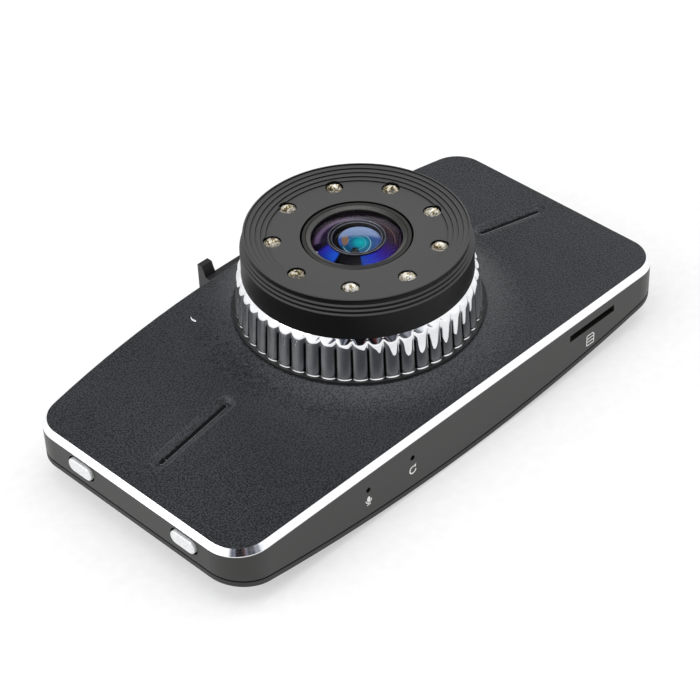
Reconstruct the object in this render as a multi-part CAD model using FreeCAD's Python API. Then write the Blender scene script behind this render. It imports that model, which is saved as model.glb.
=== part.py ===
"""Dash camera, lying on its rear face: each physical piece is one STEP file in parts/.

Frame: millimetres, +Z from the rear face towards the lens, +X along the body, +Y towards
the windscreen mount.  The origin is where the lens axis meets the plane the rear rests on.
"""
import FreeCAD, Part
import math
import os

V = FreeCAD.Vector

# ---------------------------------------------------------------- driving dimensions
# Body outline, seen along the lens axis.
BODY_LENGTH = 105.0
BODY_WIDTH = 55.6
LENS_OFFSET_X = 4.73          # lens axis, from the middle of the body's length
LENS_OFFSET_Y = 1.65          # lens axis, from the middle of the body's width
MOUNT_EDGE_RISE = 6.356       # the mount edge is a shallow arch, this much out in its middle
CORNER_RADIUS = 6.5

# Heights above the rest plane.
PANEL_TOP = 12.5
SEAM_HEIGHT = 1.7             # seam between frame and rear cover, at mid length
REAR_LIP = 1.25               # rear cover's thickness under the seam
REAR_END_RISE = 4.877         # the rear curves up towards both ends
BOARD_BOTTOM = 7.0

# Shells.
WALL = 1.5
PANEL_THICKNESS = 1.0
PANEL_GAP = 0.05              # panel to bevel
BEVEL_WIDTH = 0.8
BEVEL_HEIGHT = 1.0
TRIM_FOOT = 0.15              # plain foot under the bevel
TRIM_LEDGE_WIDTH = 2.4
TRIM_LEDGE = 0.6
TRIM_STEP = 0.6               # wall left outside the trim's ledge
SEAM_GROOVE = 0.3
FIT = 0.1                     # general clearance between pieces

# Screen on the rear, from the picture outwards: each border is (along X, along Y).
SCREEN_LENGTH = 61.0
SCREEN_WIDTH = 34.6
LCD_BORDER = (2.0, 1.9)
WINDOW_BORDER = (3.5, 2.9)
PEDESTAL_BORDER = (2.0, 1.8)  # past the window
PEDESTAL_Y = -3.0
WINDOW_THICKNESS = 0.9
SCREEN_LEDGE = 0.8
LCD_GAP = 0.3                 # round the LCD in the rear cover
GASKET_THICKNESS = 0.3
LCD_THICKNESS = 1.2
BACKLIGHT_THICKNESS = 1.5
LCD_FLEX = {"x": (6.0, 18.0), "from_middle": -8.0, "foot": 4.0, "thickness": 0.2}

# Lens head, from the glass outwards.
FRONT_GLASS_RADIUS = 8.3
FRONT_GLASS_CURVE = 20.0
FRONT_GLASS_HOLLOW = 6.4
FRONT_GLASS_EDGE = 3.0
FRONT_GLASS_MIDDLE = 1.6
RETAINER_LAP = 0.45           # over the glass's edge
RETAINER_LIP = 0.4            # thickness of the lip
RETAINER_WALL = 1.0
RETAINER_FALL = 0.35
RETAINER_RIM = 0.6            # flat outer band, with a fine groove inside it
RETAINER_GROOVE = 0.12
WELL_GAP = 0.33
LAMP_COUNT = 9
LAMP_FROM_WELL = 4.68
LAMP_FROM_STEP = 1.14
LAMP_RADIUS = 1.45
LAMP_DOME_RADIUS = 2.3
LAMP_HOLE_GAP = 0.12
LAMP_LENGTH = 4.3
LAMP_PROUD = 0.25             # dome's top above the face
LAMP_BOARD_THICKNESS = 0.8
LAMP_BOARD_GAP = 0.4
LAMP_FLEX = {"from_lamps": -1.3, "width": 6.0, "thickness": 0.2}
FACE_STEPS = 4
FACE_STEP_WIDTH = 0.875
FACE_RIM_WIDTH = 0.45
FACE_DEPTH = 1.25             # annulus below the outer rim
FACE_PLATE = 1.7
SHOULDER_WIDTH = 0.98
SHOULDER_STEPS = 3
SHOULDER_RISE = 0.75
SHOULDER_INSET = 0.22
HEAD_HEIGHT = 17.4            # above the front panel
HOUSING_WALL = 1.6
HOUSING_LAP = 2.07            # flange under the panel, past the barrel
HOUSING_FLANGE = 0.9
RING_WIDTH = 1.54
RING_HEIGHT = 7.75
RING_FOOT_CHAMFER = 0.12
LOBE_COUNT = 48
LOBE_SHARE = 0.62             # part of each pitch that is lobe, the rest is groove
LOBE_CROWN = 0.14             # bulge of a lobe's outer face
GROOVE_DEPTH = 0.78
FLANGE_REVEAL = 0.45          # dark seat past the ring
FLANGE_THICKNESS = 0.5
FLARE_LAND = 0.3
FLARE_RUN = 6.8
FLARE_HEIGHT = 1.5

# Lens cell and the camera module under it: (outer or inner) radii and heights of its steps.
CELL_THREAD_RADIUS = 5.6
CELL_THREAD = 4.4
CELL_BORE_LOW = 3.2
CELL_BORE_HIGH = 4.9
CELL_SEAT_RADIUS = 6.1
CELL_SEAT_FALL = 1.2
CELL_BARREL = 6.0             # depth of the upper bore under the front glass
CELL_ABOVE_SENSOR = 2.4
SENSOR_BOARD_SIZE = (19.0, 18.0, 0.8)
SENSOR_SIZE = (9.0, 8.0, 0.9)
FILTER_SIZE = (7.0, 7.0, 0.3)
HOLDER_BASE = (14.0, 14.0, 1.5)
HOLDER_ROOM = (10.4, 10.4, 1.3)
HOLDER_COLLAR_RADIUS = 6.9
HOLDER_COLLAR_LAP = 3.6       # collar's overlap with the cell's thread
HOLDER_WINDOW_RADIUS = 3.6
CONNECTOR_SIZE = (12.0, 3.0, 0.6)
CONNECTOR_Y = 6.0

# Slots in the front panel: centre, angle and length of each, one shared width and depth.
LEFT_SLOT = {"centre": (-40.9, -2.0), "angle": 8.7, "pocket": 20.8, "slot": 17.4}
RIGHT_SLOT = {"centre": (37.1, -2.15), "angle": -15.5, "pocket": 14.9, "slot": 12.7}
POCKET_WIDTH = 3.6
POCKET_DEPTH = 0.75
POCKET_RIM = 0.4              # gentle outer band of the pocket
POCKET_RIM_DEPTH = 0.15
POCKET_LEAN = 0.75
SLOT_WIDTH = 0.8
INSERT_MARGIN = 1.3
INSERT_FLANGE = 0.5
INSERT_TONGUE = 0.15
INDICATOR_RADIUS = 0.3
INDICATOR_FROM_END = 1.3
INDICATOR_HEIGHT = 0.25

# Side wall features on the edge away from the mount.
CARD_SLOT_X = 27.65
CARD_SLOT_Z = 8.8
CARD_SLOT_LENGTH = 11.9
CARD_SLOT_HEIGHT = 1.4
PIN_HOLE_RADIUS = 0.5
PIN_HOLE_Z = 8.1
MIC_X = -28.4
MIC_RADIUS = 2.0
MIC_DEPTH = 1.6
BOOT_WALL = 0.7
BOOT_NOSE = 1.2
BOOT_DEPTH = 3.2
RESET_X = -18.05
RESET_BODY = (4.0, 3.0)       # along X, along Y
RESET_PLUNGER = (1.0, 1.5)
RESET_PLUNGER_GAP = 0.1
RESET_TRAVEL = 0.3

# Side buttons on the short edge.
SIDE_BUTTON_Y = {"power": 7.35, "mode": -17.3}
SIDE_BUTTON_Z = 9.45
SIDE_BUTTON_LENGTH = 5.6
SIDE_BUTTON_HEIGHT = 2.5
SIDE_BUTTON_PROUD = 0.5
SIDE_BUTTON_FLANGE = 0.5
SIDE_BUTTON_LAP = 0.6         # flange past the cap, all round
SIDE_BUTTON_TRAVEL = 0.35
BUTTON_GAP = 0.35
SIDE_SWITCH_GAP = 3.2         # wall to the face of the switches
SIDE_SWITCH_SIZE = (3.0, 6.0)
SIDE_PLUNGER = (0.75, 0.5)    # length outside and inside its switch
SIDE_PLUNGER_RADIUS = 0.95
PLUNGER_END_ROOM = 0.15       # left behind a plunger pressed all the way

# Rear keys, in a column beside the screen.
KEY_NAMES = ["menu", "up", "record", "down"]
KEY_PITCH = 9.0
KEY_FROM_EDGE = 8.3
KEY_RADIUS = 2.8
KEY_LAP = 0.6
KEY_PROUD = 0.5
KEY_FLANGE = 0.4
KEY_TRAVEL = 0.2
TACT_SIDE = 3.2
TACT_HEIGHT = 0.7
TACT_PLUNGER = 0.3
TACT_PLUNGER_REACH = 0.2      # inside the switch
TACT_PLUNGER_RADIUS = 0.8

# Mount shoe on the arched edge.
SHOE_HALF_LENGTH = 9.6
SHOE_STOP = 2.4
SHOE_Z = 6.2
SHOE_RAIL_HALF = 3.5
SHOE_NECK_HALF = 2.0
SHOE_GAP = 1.5
SHOE_RAIL = 1.8
SHOE_STOP_DEPTH = 3.4         # stop's depth, from the rail's inner face
SHOE_STOP_RISE = 2.1
SHOE_STOP_SLOPE = (1.15, 1.4) # run at the top of the stop's front, and above the rail
SHOE_SCREW_X = (-5.0, 5.0)

# Boards, sockets and other inner pieces.
BOARD_THICKNESS = 0.8
BOARD_INSET = 3.2
SCREW_HEAD_RADIUS = 1.6
SCREW_HEAD = 1.0
SCREW_SHANK_RADIUS = 0.95
BOSS_RADIUS = 2.4
GROMMET_GAP = 0.2             # round sockets where they pass a board or a cover
USB_X = 24.5
USB_SIZE = (7.7, 9.0, 3.9)
USB_SHEET = 0.35
USB_INSET = 0.9               # mouth behind the wall's outer face
USB_TONGUE = (5.2, 0.9)
AV_Y = 8.5
AV_SIZE = (9.0, 5.0, 4.2)
AV_NOSE_RADIUS = 1.8
AV_BORE_RADIUS = 1.3
CARD_SOCKET_FROM_EDGE = 16.5  # keeps the socket's far end clear of the board screw
CARD_SOCKET_DEPTH = CARD_SOCKET_FROM_EDGE - WALL
CARD_SOCKET_END = 0.8
CARD_DEPTH = CARD_SOCKET_DEPTH - CARD_SOCKET_END
CARD_SOCKET_SIDE = 1.1
CARD_SLIDER = (10.0, 1.2)
CARD_SPRING_SPACE = 1.8        # behind the slider
CARD_SLIDER_FROM_WALL = CARD_DEPTH - CARD_SPRING_SPACE
SPEAKER_RADIUS = 6.5
SPEAKER_HEIGHT = 3.0
SPEAKER_RIM = 0.8
SPEAKER_GAP = 1.2             # between its rim and the side wall
SPEAKER_FROM_EDGE = SPEAKER_RADIUS + WALL + SPEAKER_GAP
GRILLE_PITCH = 2.0
GRILLE_HOLE_RADIUS = 0.5
GRILLE_ROWS = 2               # on each side of the middle row
BATTERY_SIZE = (19.0, 30.0, 2.6)
BATTERY_Y = 0.5
PROCESSOR = {"centre": (4.0, -19.0), "size": (12.0, 12.0, 1.2)}
MEMORY = {"centre": (-8.75, -18.5), "size": (8.5, 11.0, 1.0)}
COILS = {"x": (-12.75, -8.75, 12.25), "y": 14.25, "size": (2.5, 2.5, 1.4)}
CAPACITORS = {"x": (-13.2, -10.2, -7.2, 8.8, 11.8), "y": 17.4, "size": (1.6, 0.8, 0.8)}
MOTION_SENSOR = {"centre": (15.5, -7.5), "size": (3.0, 3.0, 0.9)}
BOARD_POST_RADIUS = 2.0
BOARD_POST_DEPTH = 2.6
BOARD_POST_FROM_SCREEN = 3.2
BOARD_POSTS = [(-1, -16.5), (-1, 16.5), (1, -8.0), (1, 16.5)]   # side, distance along the screen's width

# ---------------------------------------------------------------- values worked out
XC = -LENS_OFFSET_X
YC = -LENS_OFFSET_Y
X_LEFT = XC - BODY_LENGTH / 2
X_RIGHT = XC + BODY_LENGTH / 2
Y_LOW = YC - BODY_WIDTH / 2
Y_HIGH = YC + BODY_WIDTH / 2
TOP_ARCH_RADIUS = ((BODY_LENGTH / 2) ** 2 + MOUNT_EDGE_RISE ** 2) / (2 * MOUNT_EDGE_RISE)
REAR_ARCH_RADIUS = ((BODY_LENGTH / 2) ** 2 + REAR_END_RISE ** 2) / (2 * REAR_END_RISE)
ARCH_CENTRE_Y = Y_HIGH - TOP_ARCH_RADIUS
BEVEL_LOW = PANEL_TOP - BEVEL_HEIGHT
FRAME_TOP = BEVEL_LOW - TRIM_FOOT
PANEL_UNDERSIDE = PANEL_TOP - PANEL_THICKNESS
LEDGE_LOW = PANEL_UNDERSIDE - TRIM_LEDGE
PANEL_INSET = BEVEL_WIDTH + PANEL_GAP
BOARD_TOP = BOARD_BOTTOM + BOARD_THICKNESS
LCD_LENGTH = SCREEN_LENGTH + 2 * LCD_BORDER[0]
LCD_WIDTH = SCREEN_WIDTH + 2 * LCD_BORDER[1]
WINDOW_LENGTH = SCREEN_LENGTH + 2 * WINDOW_BORDER[0]
WINDOW_WIDTH = SCREEN_WIDTH + 2 * WINDOW_BORDER[1]
PEDESTAL_LENGTH = WINDOW_LENGTH + 2 * PEDESTAL_BORDER[0]
PEDESTAL_WIDTH = WINDOW_WIDTH + 2 * PEDESTAL_BORDER[1]
APERTURE_RADIUS = FRONT_GLASS_RADIUS - RETAINER_LAP
RETAINER_RADIUS = FRONT_GLASS_RADIUS + RETAINER_WALL
WELL_RADIUS = RETAINER_RADIUS + WELL_GAP
LAMP_CIRCLE = WELL_RADIUS + LAMP_FROM_WELL
FACE_INNER_RADIUS = LAMP_CIRCLE + LAMP_FROM_STEP
FACE_OUTER_RADIUS = FACE_INNER_RADIUS + FACE_STEPS * FACE_STEP_WIDTH
HOUSING_RADIUS = FACE_OUTER_RADIUS + SHOULDER_WIDTH
HOUSING_BORE = HOUSING_RADIUS - HOUSING_WALL
HOUSING_TOP = PANEL_TOP + HEAD_HEIGHT
RING_RADIUS = HOUSING_RADIUS + RING_WIDTH
FLANGE_RADIUS = RING_RADIUS + FLANGE_REVEAL
FLARE_TOP_RADIUS = FLANGE_RADIUS + FLARE_LAND
FLARE_RADIUS = FLARE_TOP_RADIUS + FLARE_RUN
FLARE_TOP = PANEL_TOP + FLARE_HEIGHT
RING_BOTTOM = FLARE_TOP + FLANGE_THICKNESS
RING_TOP = RING_BOTTOM + RING_HEIGHT
FACE_LEVEL = HOUSING_TOP - FACE_DEPTH
FACE_UNDERSIDE = FACE_LEVEL - FACE_PLATE
LAMP_TOP = FACE_LEVEL + LAMP_PROUD
LAMP_BOARD_TOP = LAMP_TOP - LAMP_LENGTH
LAMP_BOARD_LOW = LAMP_BOARD_TOP - LAMP_BOARD_THICKNESS
RETAINER_TOP = FACE_LEVEL - 0.1
APERTURE_Z = RETAINER_TOP - RETAINER_FALL
SCREEN_Z = WINDOW_THICKNESS + SCREEN_LEDGE
LCD_Z = SCREEN_Z + GASKET_THICKNESS
BACKLIGHT_Z = LCD_Z + LCD_THICKNESS
BACKLIGHT_TOP = BACKLIGHT_Z + BACKLIGHT_THICKNESS
SENSOR_BOARD_Z = BOARD_TOP + CONNECTOR_SIZE[2]
SENSOR_Z = SENSOR_BOARD_Z + SENSOR_BOARD_SIZE[2]
CELL_LOW = SENSOR_Z + CELL_ABOVE_SENSOR
USB_Z = BOARD_TOP + 0.4
AV_Z = BOARD_TOP + 0.7
SIDE_SWITCH_X = X_LEFT + WALL + SIDE_SWITCH_GAP
KEY_X = X_LEFT + KEY_FROM_EDGE
SPEAKER_X = X_RIGHT - SPEAKER_FROM_EDGE
FAR = 200.0                   # reach of a cutting solid


# ---------------------------------------------------------------- shape helpers
def box(x0, x1, y0, y1, z0, z1):
    return Part.makeBox(x1 - x0, y1 - y0, z1 - z0, V(x0, y0, z0))


def cylinder(radius, z0, z1, x=0.0, y=0.0):
    return Part.makeCylinder(radius, z1 - z0, V(x, y, z0))


def ring(outer, inner, z0, z1, x=0.0, y=0.0):
    return cylinder(outer, z0, z1, x, y).cut(cylinder(inner, z0 - 1, z1 + 1, x, y))


def block(size, z0, centre=(0.0, 0.0)):
    """Box of a given size, centred in plan and standing on z0."""
    x, y = centre
    return box(x - size[0] / 2, x + size[0] / 2, y - size[1] / 2, y + size[1] / 2, z0, z0 + size[2])


def join(shapes):
    first = shapes[0]
    if len(shapes) == 1:
        return first
    return first.multiFuse(shapes[1:]).removeSplitter()


def polygon_face(points):
    return Part.Face(Part.makePolygon(points + [points[0]]))


def turned(profile):
    """Solid of revolution about the lens axis from (radius, height) points."""
    face = polygon_face([V(r, 0, z) for r, z in profile])
    return face.revolve(V(0, 0, 0), V(0, 0, 1), 360)


def arc_edge(cx, cy, radius, start, end, z):
    middle = (start + end) / 2
    turns = (start, middle, end)
    points = [V(cx + radius * math.cos(turn), cy + radius * math.sin(turn), z) for turn in turns]
    return Part.Arc(*points).toShape()


def corner_centres(inset):
    """Centres of the four corner arcs and the turn at which the arch takes over."""
    radius = max(CORNER_RADIUS - inset, 0.5)
    x_left = X_LEFT + inset + radius
    x_right = X_RIGHT - inset - radius
    y_low = Y_LOW + inset + radius
    reach = TOP_ARCH_RADIUS - inset - radius
    y_high = ARCH_CENTRE_Y + math.sqrt(reach ** 2 - (x_right - XC) ** 2)
    turn = math.atan2(y_high - ARCH_CENTRE_Y, x_right - XC)
    return radius, x_left, x_right, y_low, y_high, turn


def outline(inset, z):
    """Closed wire: the body's outline moved inwards by inset, at height z."""
    radius, x_left, x_right, y_low, y_high, turn = corner_centres(inset)
    pi = math.pi
    arch = arc_edge(XC, ARCH_CENTRE_Y, TOP_ARCH_RADIUS - inset, turn, pi - turn, z)
    bottom = Part.LineSegment(V(x_left, y_low - radius, z), V(x_right, y_low - radius, z))
    right = Part.LineSegment(V(x_right + radius, y_low, z), V(x_right + radius, y_high, z))
    left = Part.LineSegment(V(x_left - radius, y_high, z), V(x_left - radius, y_low, z))
    return Part.Wire([
        bottom.toShape(),
        arc_edge(x_right, y_low, radius, -pi / 2, 0, z),
        right.toShape(),
        arc_edge(x_right, y_high, radius, 0, turn, z),
        arch,
        arc_edge(x_left, y_high, radius, pi - turn, pi, z),
        left.toShape(),
        arc_edge(x_left, y_low, radius, pi, 3 * pi / 2, z),
    ])


def prism(inset, z0, z1):
    return Part.Face(outline(inset, z0)).extrude(V(0, 0, z1 - z0))


def above_arch(mid_height):
    """Everything above the rear's curved surface whose middle is at mid_height."""
    half = FAR / 2
    end = mid_height + REAR_ARCH_RADIUS - math.sqrt(REAR_ARCH_RADIUS ** 2 - half ** 2)
    left, right = V(XC - half, -half, end), V(XC + half, -half, end)
    middle = V(XC, -half, mid_height)
    top_left, top_right = V(XC - half, -half, FAR), V(XC + half, -half, FAR)
    edges = [
        Part.Arc(left, middle, right).toShape(),
        Part.LineSegment(right, top_right).toShape(),
        Part.LineSegment(top_right, top_left).toShape(),
        Part.LineSegment(top_left, left).toShape(),
    ]
    return Part.Face(Part.Wire(edges)).extrude(V(0, FAR, 0))


def arch_rise(x):
    return REAR_ARCH_RADIUS - math.sqrt(REAR_ARCH_RADIUS ** 2 - (x - XC) ** 2)


def wall_y(x, inset=0.0):
    """Y of the arched wall, inset from its outer face."""
    return ARCH_CENTRE_Y + math.sqrt((TOP_ARCH_RADIUS - inset) ** 2 - (x - XC) ** 2)


def stadium_wire(length, width, z, slot):
    """Outline of a bar with round ends, placed and turned as a slot of the front panel."""
    radius = width / 2
    half = length / 2 - radius
    pi = math.pi
    wire = Part.Wire([
        Part.LineSegment(V(-half, -radius, z), V(half, -radius, z)).toShape(),
        arc_edge(half, 0, radius, -pi / 2, pi / 2, z),
        Part.LineSegment(V(half, radius, z), V(-half, radius, z)).toShape(),
        arc_edge(-half, 0, radius, pi / 2, 3 * pi / 2, z),
    ])
    wire.rotate(V(0, 0, 0), V(0, 0, 1), slot["angle"])
    wire.translate(V(slot["centre"][0], slot["centre"][1], 0))
    return wire


def stadium(length, width, z0, z1, slot):
    return Part.Face(stadium_wire(length, width, z0, slot)).extrude(V(0, 0, z1 - z0))


def rounded_plate(length, width, z0, z1, y=PEDESTAL_Y, radius=2.0):
    plate = box(XC - length / 2, XC + length / 2, y - width / 2, y + width / 2, z0, z1)
    uprights = [e for e in plate.Edges if abs(e.Vertexes[0].Z - e.Vertexes[1].Z) > (z1 - z0) / 2]
    return plate.makeFillet(radius, uprights)


def capsule_along_x(length, height, x0, x1, y, z):
    """Bar with round ends, pushed along X through the short wall."""
    radius = height / 2
    half = length / 2 - radius
    body = box(x0, x1, y - half, y + half, z - radius, z + radius)
    ends = [Part.makeCylinder(radius, x1 - x0, V(x0, y + s * half, z), V(1, 0, 0)) for s in (-1, 1)]
    return join([body] + ends)


def along_y(radius, x, z, y0, y1):
    return Part.makeCylinder(radius, y1 - y0, V(x, y0, z), V(0, 1, 0))


def along_x(radius, y, z, x0, x1):
    return Part.makeCylinder(radius, x1 - x0, V(x0, y, z), V(1, 0, 0))


def screw_places():
    """Housing screws sit in the four corners, out from the corner arcs' centres."""
    radius, x_left, x_right, y_low, y_high, _ = corner_centres(WALL)
    step = (radius - SCREW_HEAD_RADIUS - 0.6) * math.sqrt(0.5)
    places = []
    for x, sx in ((x_left, -1), (x_right, 1)):
        for y, sy in ((y_low, -1), (y_high, 1)):
            places.append((x + sx * step, y + sy * step))
    return places


def board_screw_places():
    half = PEDESTAL_LENGTH / 2 + BOARD_POST_FROM_SCREEN
    return [(XC + side * half, PEDESTAL_Y + y) for side, y in BOARD_POSTS]


def key_places():
    start = PEDESTAL_Y - KEY_PITCH * (len(KEY_NAMES) - 1) / 2
    return {name: (KEY_X, start + KEY_PITCH * i) for i, name in enumerate(KEY_NAMES)}


def lamp_places():
    turns = [math.pi + 2 * math.pi * i / LAMP_COUNT for i in range(LAMP_COUNT)]
    return [(LAMP_CIRCLE * math.cos(turn), LAMP_CIRCLE * math.sin(turn)) for turn in turns]


# ---------------------------------------------------------------- shells
def bezel_trim():
    bevel = Part.makeLoft([outline(0, BEVEL_LOW), outline(BEVEL_WIDTH, PANEL_TOP)], True, True)
    foot = prism(0, FRAME_TOP, BEVEL_LOW)
    ledge = prism(TRIM_STEP, LEDGE_LOW, FRAME_TOP)
    solid = join([bevel, foot, ledge])
    solid = solid.cut(prism(PANEL_INSET, PANEL_UNDERSIDE, PANEL_TOP + 1))
    return solid.cut(prism(TRIM_LEDGE_WIDTH, LEDGE_LOW - 1, PANEL_TOP + 1))


def flare(drop):
    """Raised dish round the lens, moved down by drop: a hollow arc that meets the flat panel."""
    run = FLARE_RADIUS - FLARE_TOP_RADIUS
    radius = (run ** 2 + FLARE_HEIGHT ** 2) / (2 * FLARE_HEIGHT)
    half = math.asin(run / radius) / 2
    z = PANEL_TOP - drop
    start = V(FLARE_RADIUS, 0, z)
    end = V(FLARE_TOP_RADIUS, 0, z + FLARE_HEIGHT)
    middle = V(FLARE_RADIUS - radius * math.sin(half), 0, z + radius * (1 - math.cos(half)))
    top = V(0, 0, z + FLARE_HEIGHT)
    low = V(0, 0, z - PANEL_THICKNESS)
    edge = V(FLARE_RADIUS, 0, z - PANEL_THICKNESS)
    corners = [end, top, low, edge, start]
    edges = [Part.Arc(start, middle, end).toShape()]
    edges += [Part.LineSegment(a, b).toShape() for a, b in zip(corners, corners[1:])]
    return Part.Face(Part.Wire(edges)).revolve(V(0, 0, 0), V(0, 0, 1), 360)


def front_panel():
    panel = prism(PANEL_INSET + FIT / 2, PANEL_UNDERSIDE, PANEL_TOP)
    solid = join([panel, flare(0)])
    solid = solid.cut(flare(PANEL_THICKNESS))
    solid = solid.cut(cylinder(HOUSING_RADIUS + FIT, 0, FAR))
    for slot in (LEFT_SLOT, RIGHT_SLOT):
        solid = solid.cut(pocket(slot))
        solid = solid.cut(stadium(slot["slot"], SLOT_WIDTH, PANEL_UNDERSIDE - 1, PANEL_TOP + 1, slot))
    return solid.common(prism(PANEL_INSET + FIT / 2, PANEL_UNDERSIDE - FAR / 4, FAR / 2))


def pocket(slot):
    """Dished recess round a slot: a gentle rim, then a steeper wall down to its floor."""
    rim_z = PANEL_TOP - POCKET_RIM_DEPTH
    rim = Part.makeLoft([pocket_wire(slot, POCKET_RIM, rim_z), pocket_wire(slot, 0, PANEL_TOP)], True, True)
    floor = pocket_wire(slot, POCKET_RIM + POCKET_LEAN, PANEL_TOP - POCKET_DEPTH)
    bowl = Part.makeLoft([floor, pocket_wire(slot, POCKET_RIM, rim_z)], True, True)
    return join([rim, bowl])


def pocket_wire(slot, inset, z):
    return stadium_wire(slot["pocket"] - 2 * inset, POCKET_WIDTH - 2 * inset, z, slot)


def slot_insert(slot, light):
    """Gloss strip under a slot: a flange against the panel and a tongue up into the slot."""
    flange = stadium(slot["slot"] + 2 * INSERT_MARGIN, SLOT_WIDTH + 2 * INSERT_MARGIN,
                     PANEL_UNDERSIDE - INSERT_FLANGE, PANEL_UNDERSIDE, slot)
    tongue = stadium(slot["slot"] - FIT, SLOT_WIDTH - FIT,
                     PANEL_UNDERSIDE, PANEL_UNDERSIDE + INSERT_TONGUE, slot)
    insert = join([flange, tongue])
    return insert.cut(light) if light else insert


def indicator(gap):
    """Light pipe at the outer end of the left slot; gap gives the hole that it stands in."""
    reach = LEFT_SLOT["slot"] / 2 - INDICATOR_FROM_END
    turn = math.radians(LEFT_SLOT["angle"])
    x = LEFT_SLOT["centre"][0] - reach * math.cos(turn)
    y = LEFT_SLOT["centre"][1] - reach * math.sin(turn)
    top = PANEL_UNDERSIDE + (1 if gap else INDICATOR_HEIGHT)
    return cylinder(INDICATOR_RADIUS + gap, PANEL_UNDERSIDE - INSERT_FLANGE - gap, top, x, y)


def middle_frame():
    wall = prism(0, 0, FRAME_TOP).common(above_arch(SEAM_HEIGHT))
    wall = wall.cut(prism(WALL, -1, FRAME_TOP + 1))
    wall = wall.cut(prism(TRIM_STEP, LEDGE_LOW, FRAME_TOP + 1))
    posts = [cylinder(BOSS_RADIUS, BOARD_TOP + 0.2, LEDGE_LOW, x, y) for x, y in screw_places()]
    posts = [post.common(prism(WALL / 2, 0, FRAME_TOP)) for post in posts]
    frame = join([wall] + posts)
    for x, y in screw_places():
        frame = frame.cut(cylinder(SCREW_SHANK_RADIUS, BOARD_TOP - 1, LEDGE_LOW - 0.8, x, y))
    hole_length = SIDE_BUTTON_LENGTH + 2 * BUTTON_GAP
    hole_height = SIDE_BUTTON_HEIGHT + 2 * BUTTON_GAP
    for y in SIDE_BUTTON_Y.values():
        hole = capsule_along_x(hole_length, hole_height, X_LEFT - 1, X_LEFT + WALL + 1, y, SIDE_BUTTON_Z)
        frame = frame.cut(hole)
    frame = frame.cut(card_space(0, Y_LOW - 1, Y_LOW + WALL + 1))
    for x in (MIC_X, RESET_X):
        frame = frame.cut(along_y(PIN_HOLE_RADIUS, x, PIN_HOLE_Z, Y_LOW - 1, Y_LOW + WALL + 1))
    frame = frame.cut(usb_space(GROMMET_GAP))
    frame = frame.cut(av_space(GROMMET_GAP))
    for x in SHOE_SCREW_X:
        frame = frame.cut(along_y(SCREW_SHANK_RADIUS + FIT, x, SHOE_Z, 0, Y_HIGH + 1))
    return frame


def rear_plate():
    plate = prism(0, -1, FRAME_TOP).common(above_arch(SEAM_HEIGHT - REAR_LIP))
    return plate.cut(above_arch(SEAM_HEIGHT))


def seam_groove():
    """Reveal line under the seam, cut into the rear cover's edge."""
    band = above_arch(SEAM_HEIGHT - SEAM_GROOVE).cut(above_arch(SEAM_HEIGHT + 1))
    return band.common(prism(-1, -1, FRAME_TOP).cut(prism(SEAM_GROOVE, -1, FRAME_TOP)))


def locating_rib():
    """Rib that stands just inside the frame's wall and keeps the two shells in line."""
    rib = prism(WALL + FIT, -1, FRAME_TOP).cut(prism(WALL + FIT + 0.9, -2, FRAME_TOP + 1))
    band = above_arch(SEAM_HEIGHT - 0.2).cut(above_arch(SEAM_HEIGHT + 0.9))
    return rib.common(band)


def rear_cover():
    edge = rear_plate().cut(seam_groove())
    pedestal = rounded_plate(PEDESTAL_LENGTH, PEDESTAL_WIDTH, 0, SEAM_HEIGHT + 0.3, radius=4.0)
    skirt = rounded_plate(PEDESTAL_LENGTH, PEDESTAL_WIDTH, 0, BOARD_BOTTOM - 1, radius=4.0)
    skirt = skirt.cut(above_arch(SEAM_HEIGHT))
    posts = [cylinder(BOARD_POST_RADIUS, 0, BOARD_BOTTOM, x, y) for x, y in board_screw_places()]
    posts += [cylinder(BOSS_RADIUS, 0, BOARD_BOTTOM, x, y) for x, y in screw_places()]
    inner = prism(WALL + FIT, -1, FRAME_TOP).common(above_arch(SEAM_HEIGHT - REAR_LIP / 2))
    posts = [post.common(inner) for post in posts]
    cover = join([edge, pedestal, skirt, locating_rib()] + posts)
    lcd_room = rounded_plate(LCD_LENGTH + 2 * LCD_GAP, LCD_WIDTH + 2 * LCD_GAP, SCREEN_Z, FAR, radius=0.6)
    cover = cover.cut(lcd_room)
    cover = cover.cut(rounded_plate(SCREEN_LENGTH, SCREEN_WIDTH, -1, FAR, radius=0.6))
    window_room = rounded_plate(WINDOW_LENGTH + 2 * FIT, WINDOW_WIDTH + 2 * FIT, -1, WINDOW_THICKNESS)
    cover = cover.cut(window_room)
    for x, y in screw_places():
        cover = cover.cut(cylinder(SCREW_SHANK_RADIUS + FIT, -1, FAR, x, y))
        cover = cover.cut(cylinder(SCREW_HEAD_RADIUS + 2 * FIT, -1, screw_seat(x), x, y))
    for x, y in board_screw_places():
        cover = cover.cut(cylinder(SCREW_SHANK_RADIUS, board_screw_tip(), FAR, x, y))
    for x, y in key_places().values():
        cover = cover.cut(cylinder(KEY_RADIUS + BUTTON_GAP, -1, BOARD_BOTTOM + 1, x, y))
    cover = cover.cut(av_space(GROMMET_GAP))
    return cover.cut(speaker_grille())


def screw_seat(x):
    return SEAM_HEIGHT - REAR_LIP + arch_rise(x) + SCREW_HEAD + 0.6


def board_screw_tip():
    return BOARD_BOTTOM - BOARD_POST_DEPTH


def speaker_grille():
    """Hexagon of small round holes in front of the speaker."""
    holes = []
    for row in range(-GRILLE_ROWS, GRILLE_ROWS + 1):
        count = 2 * GRILLE_ROWS + 1 - abs(row)
        for i in range(count):
            x = SPEAKER_X + (i - (count - 1) / 2) * GRILLE_PITCH
            y = PEDESTAL_Y + row * GRILLE_PITCH * math.sqrt(0.75)
            holes.append(cylinder(GRILLE_HOLE_RADIUS, -1, BOARD_BOTTOM, x, y))
    return Part.makeCompound(holes)


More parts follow.
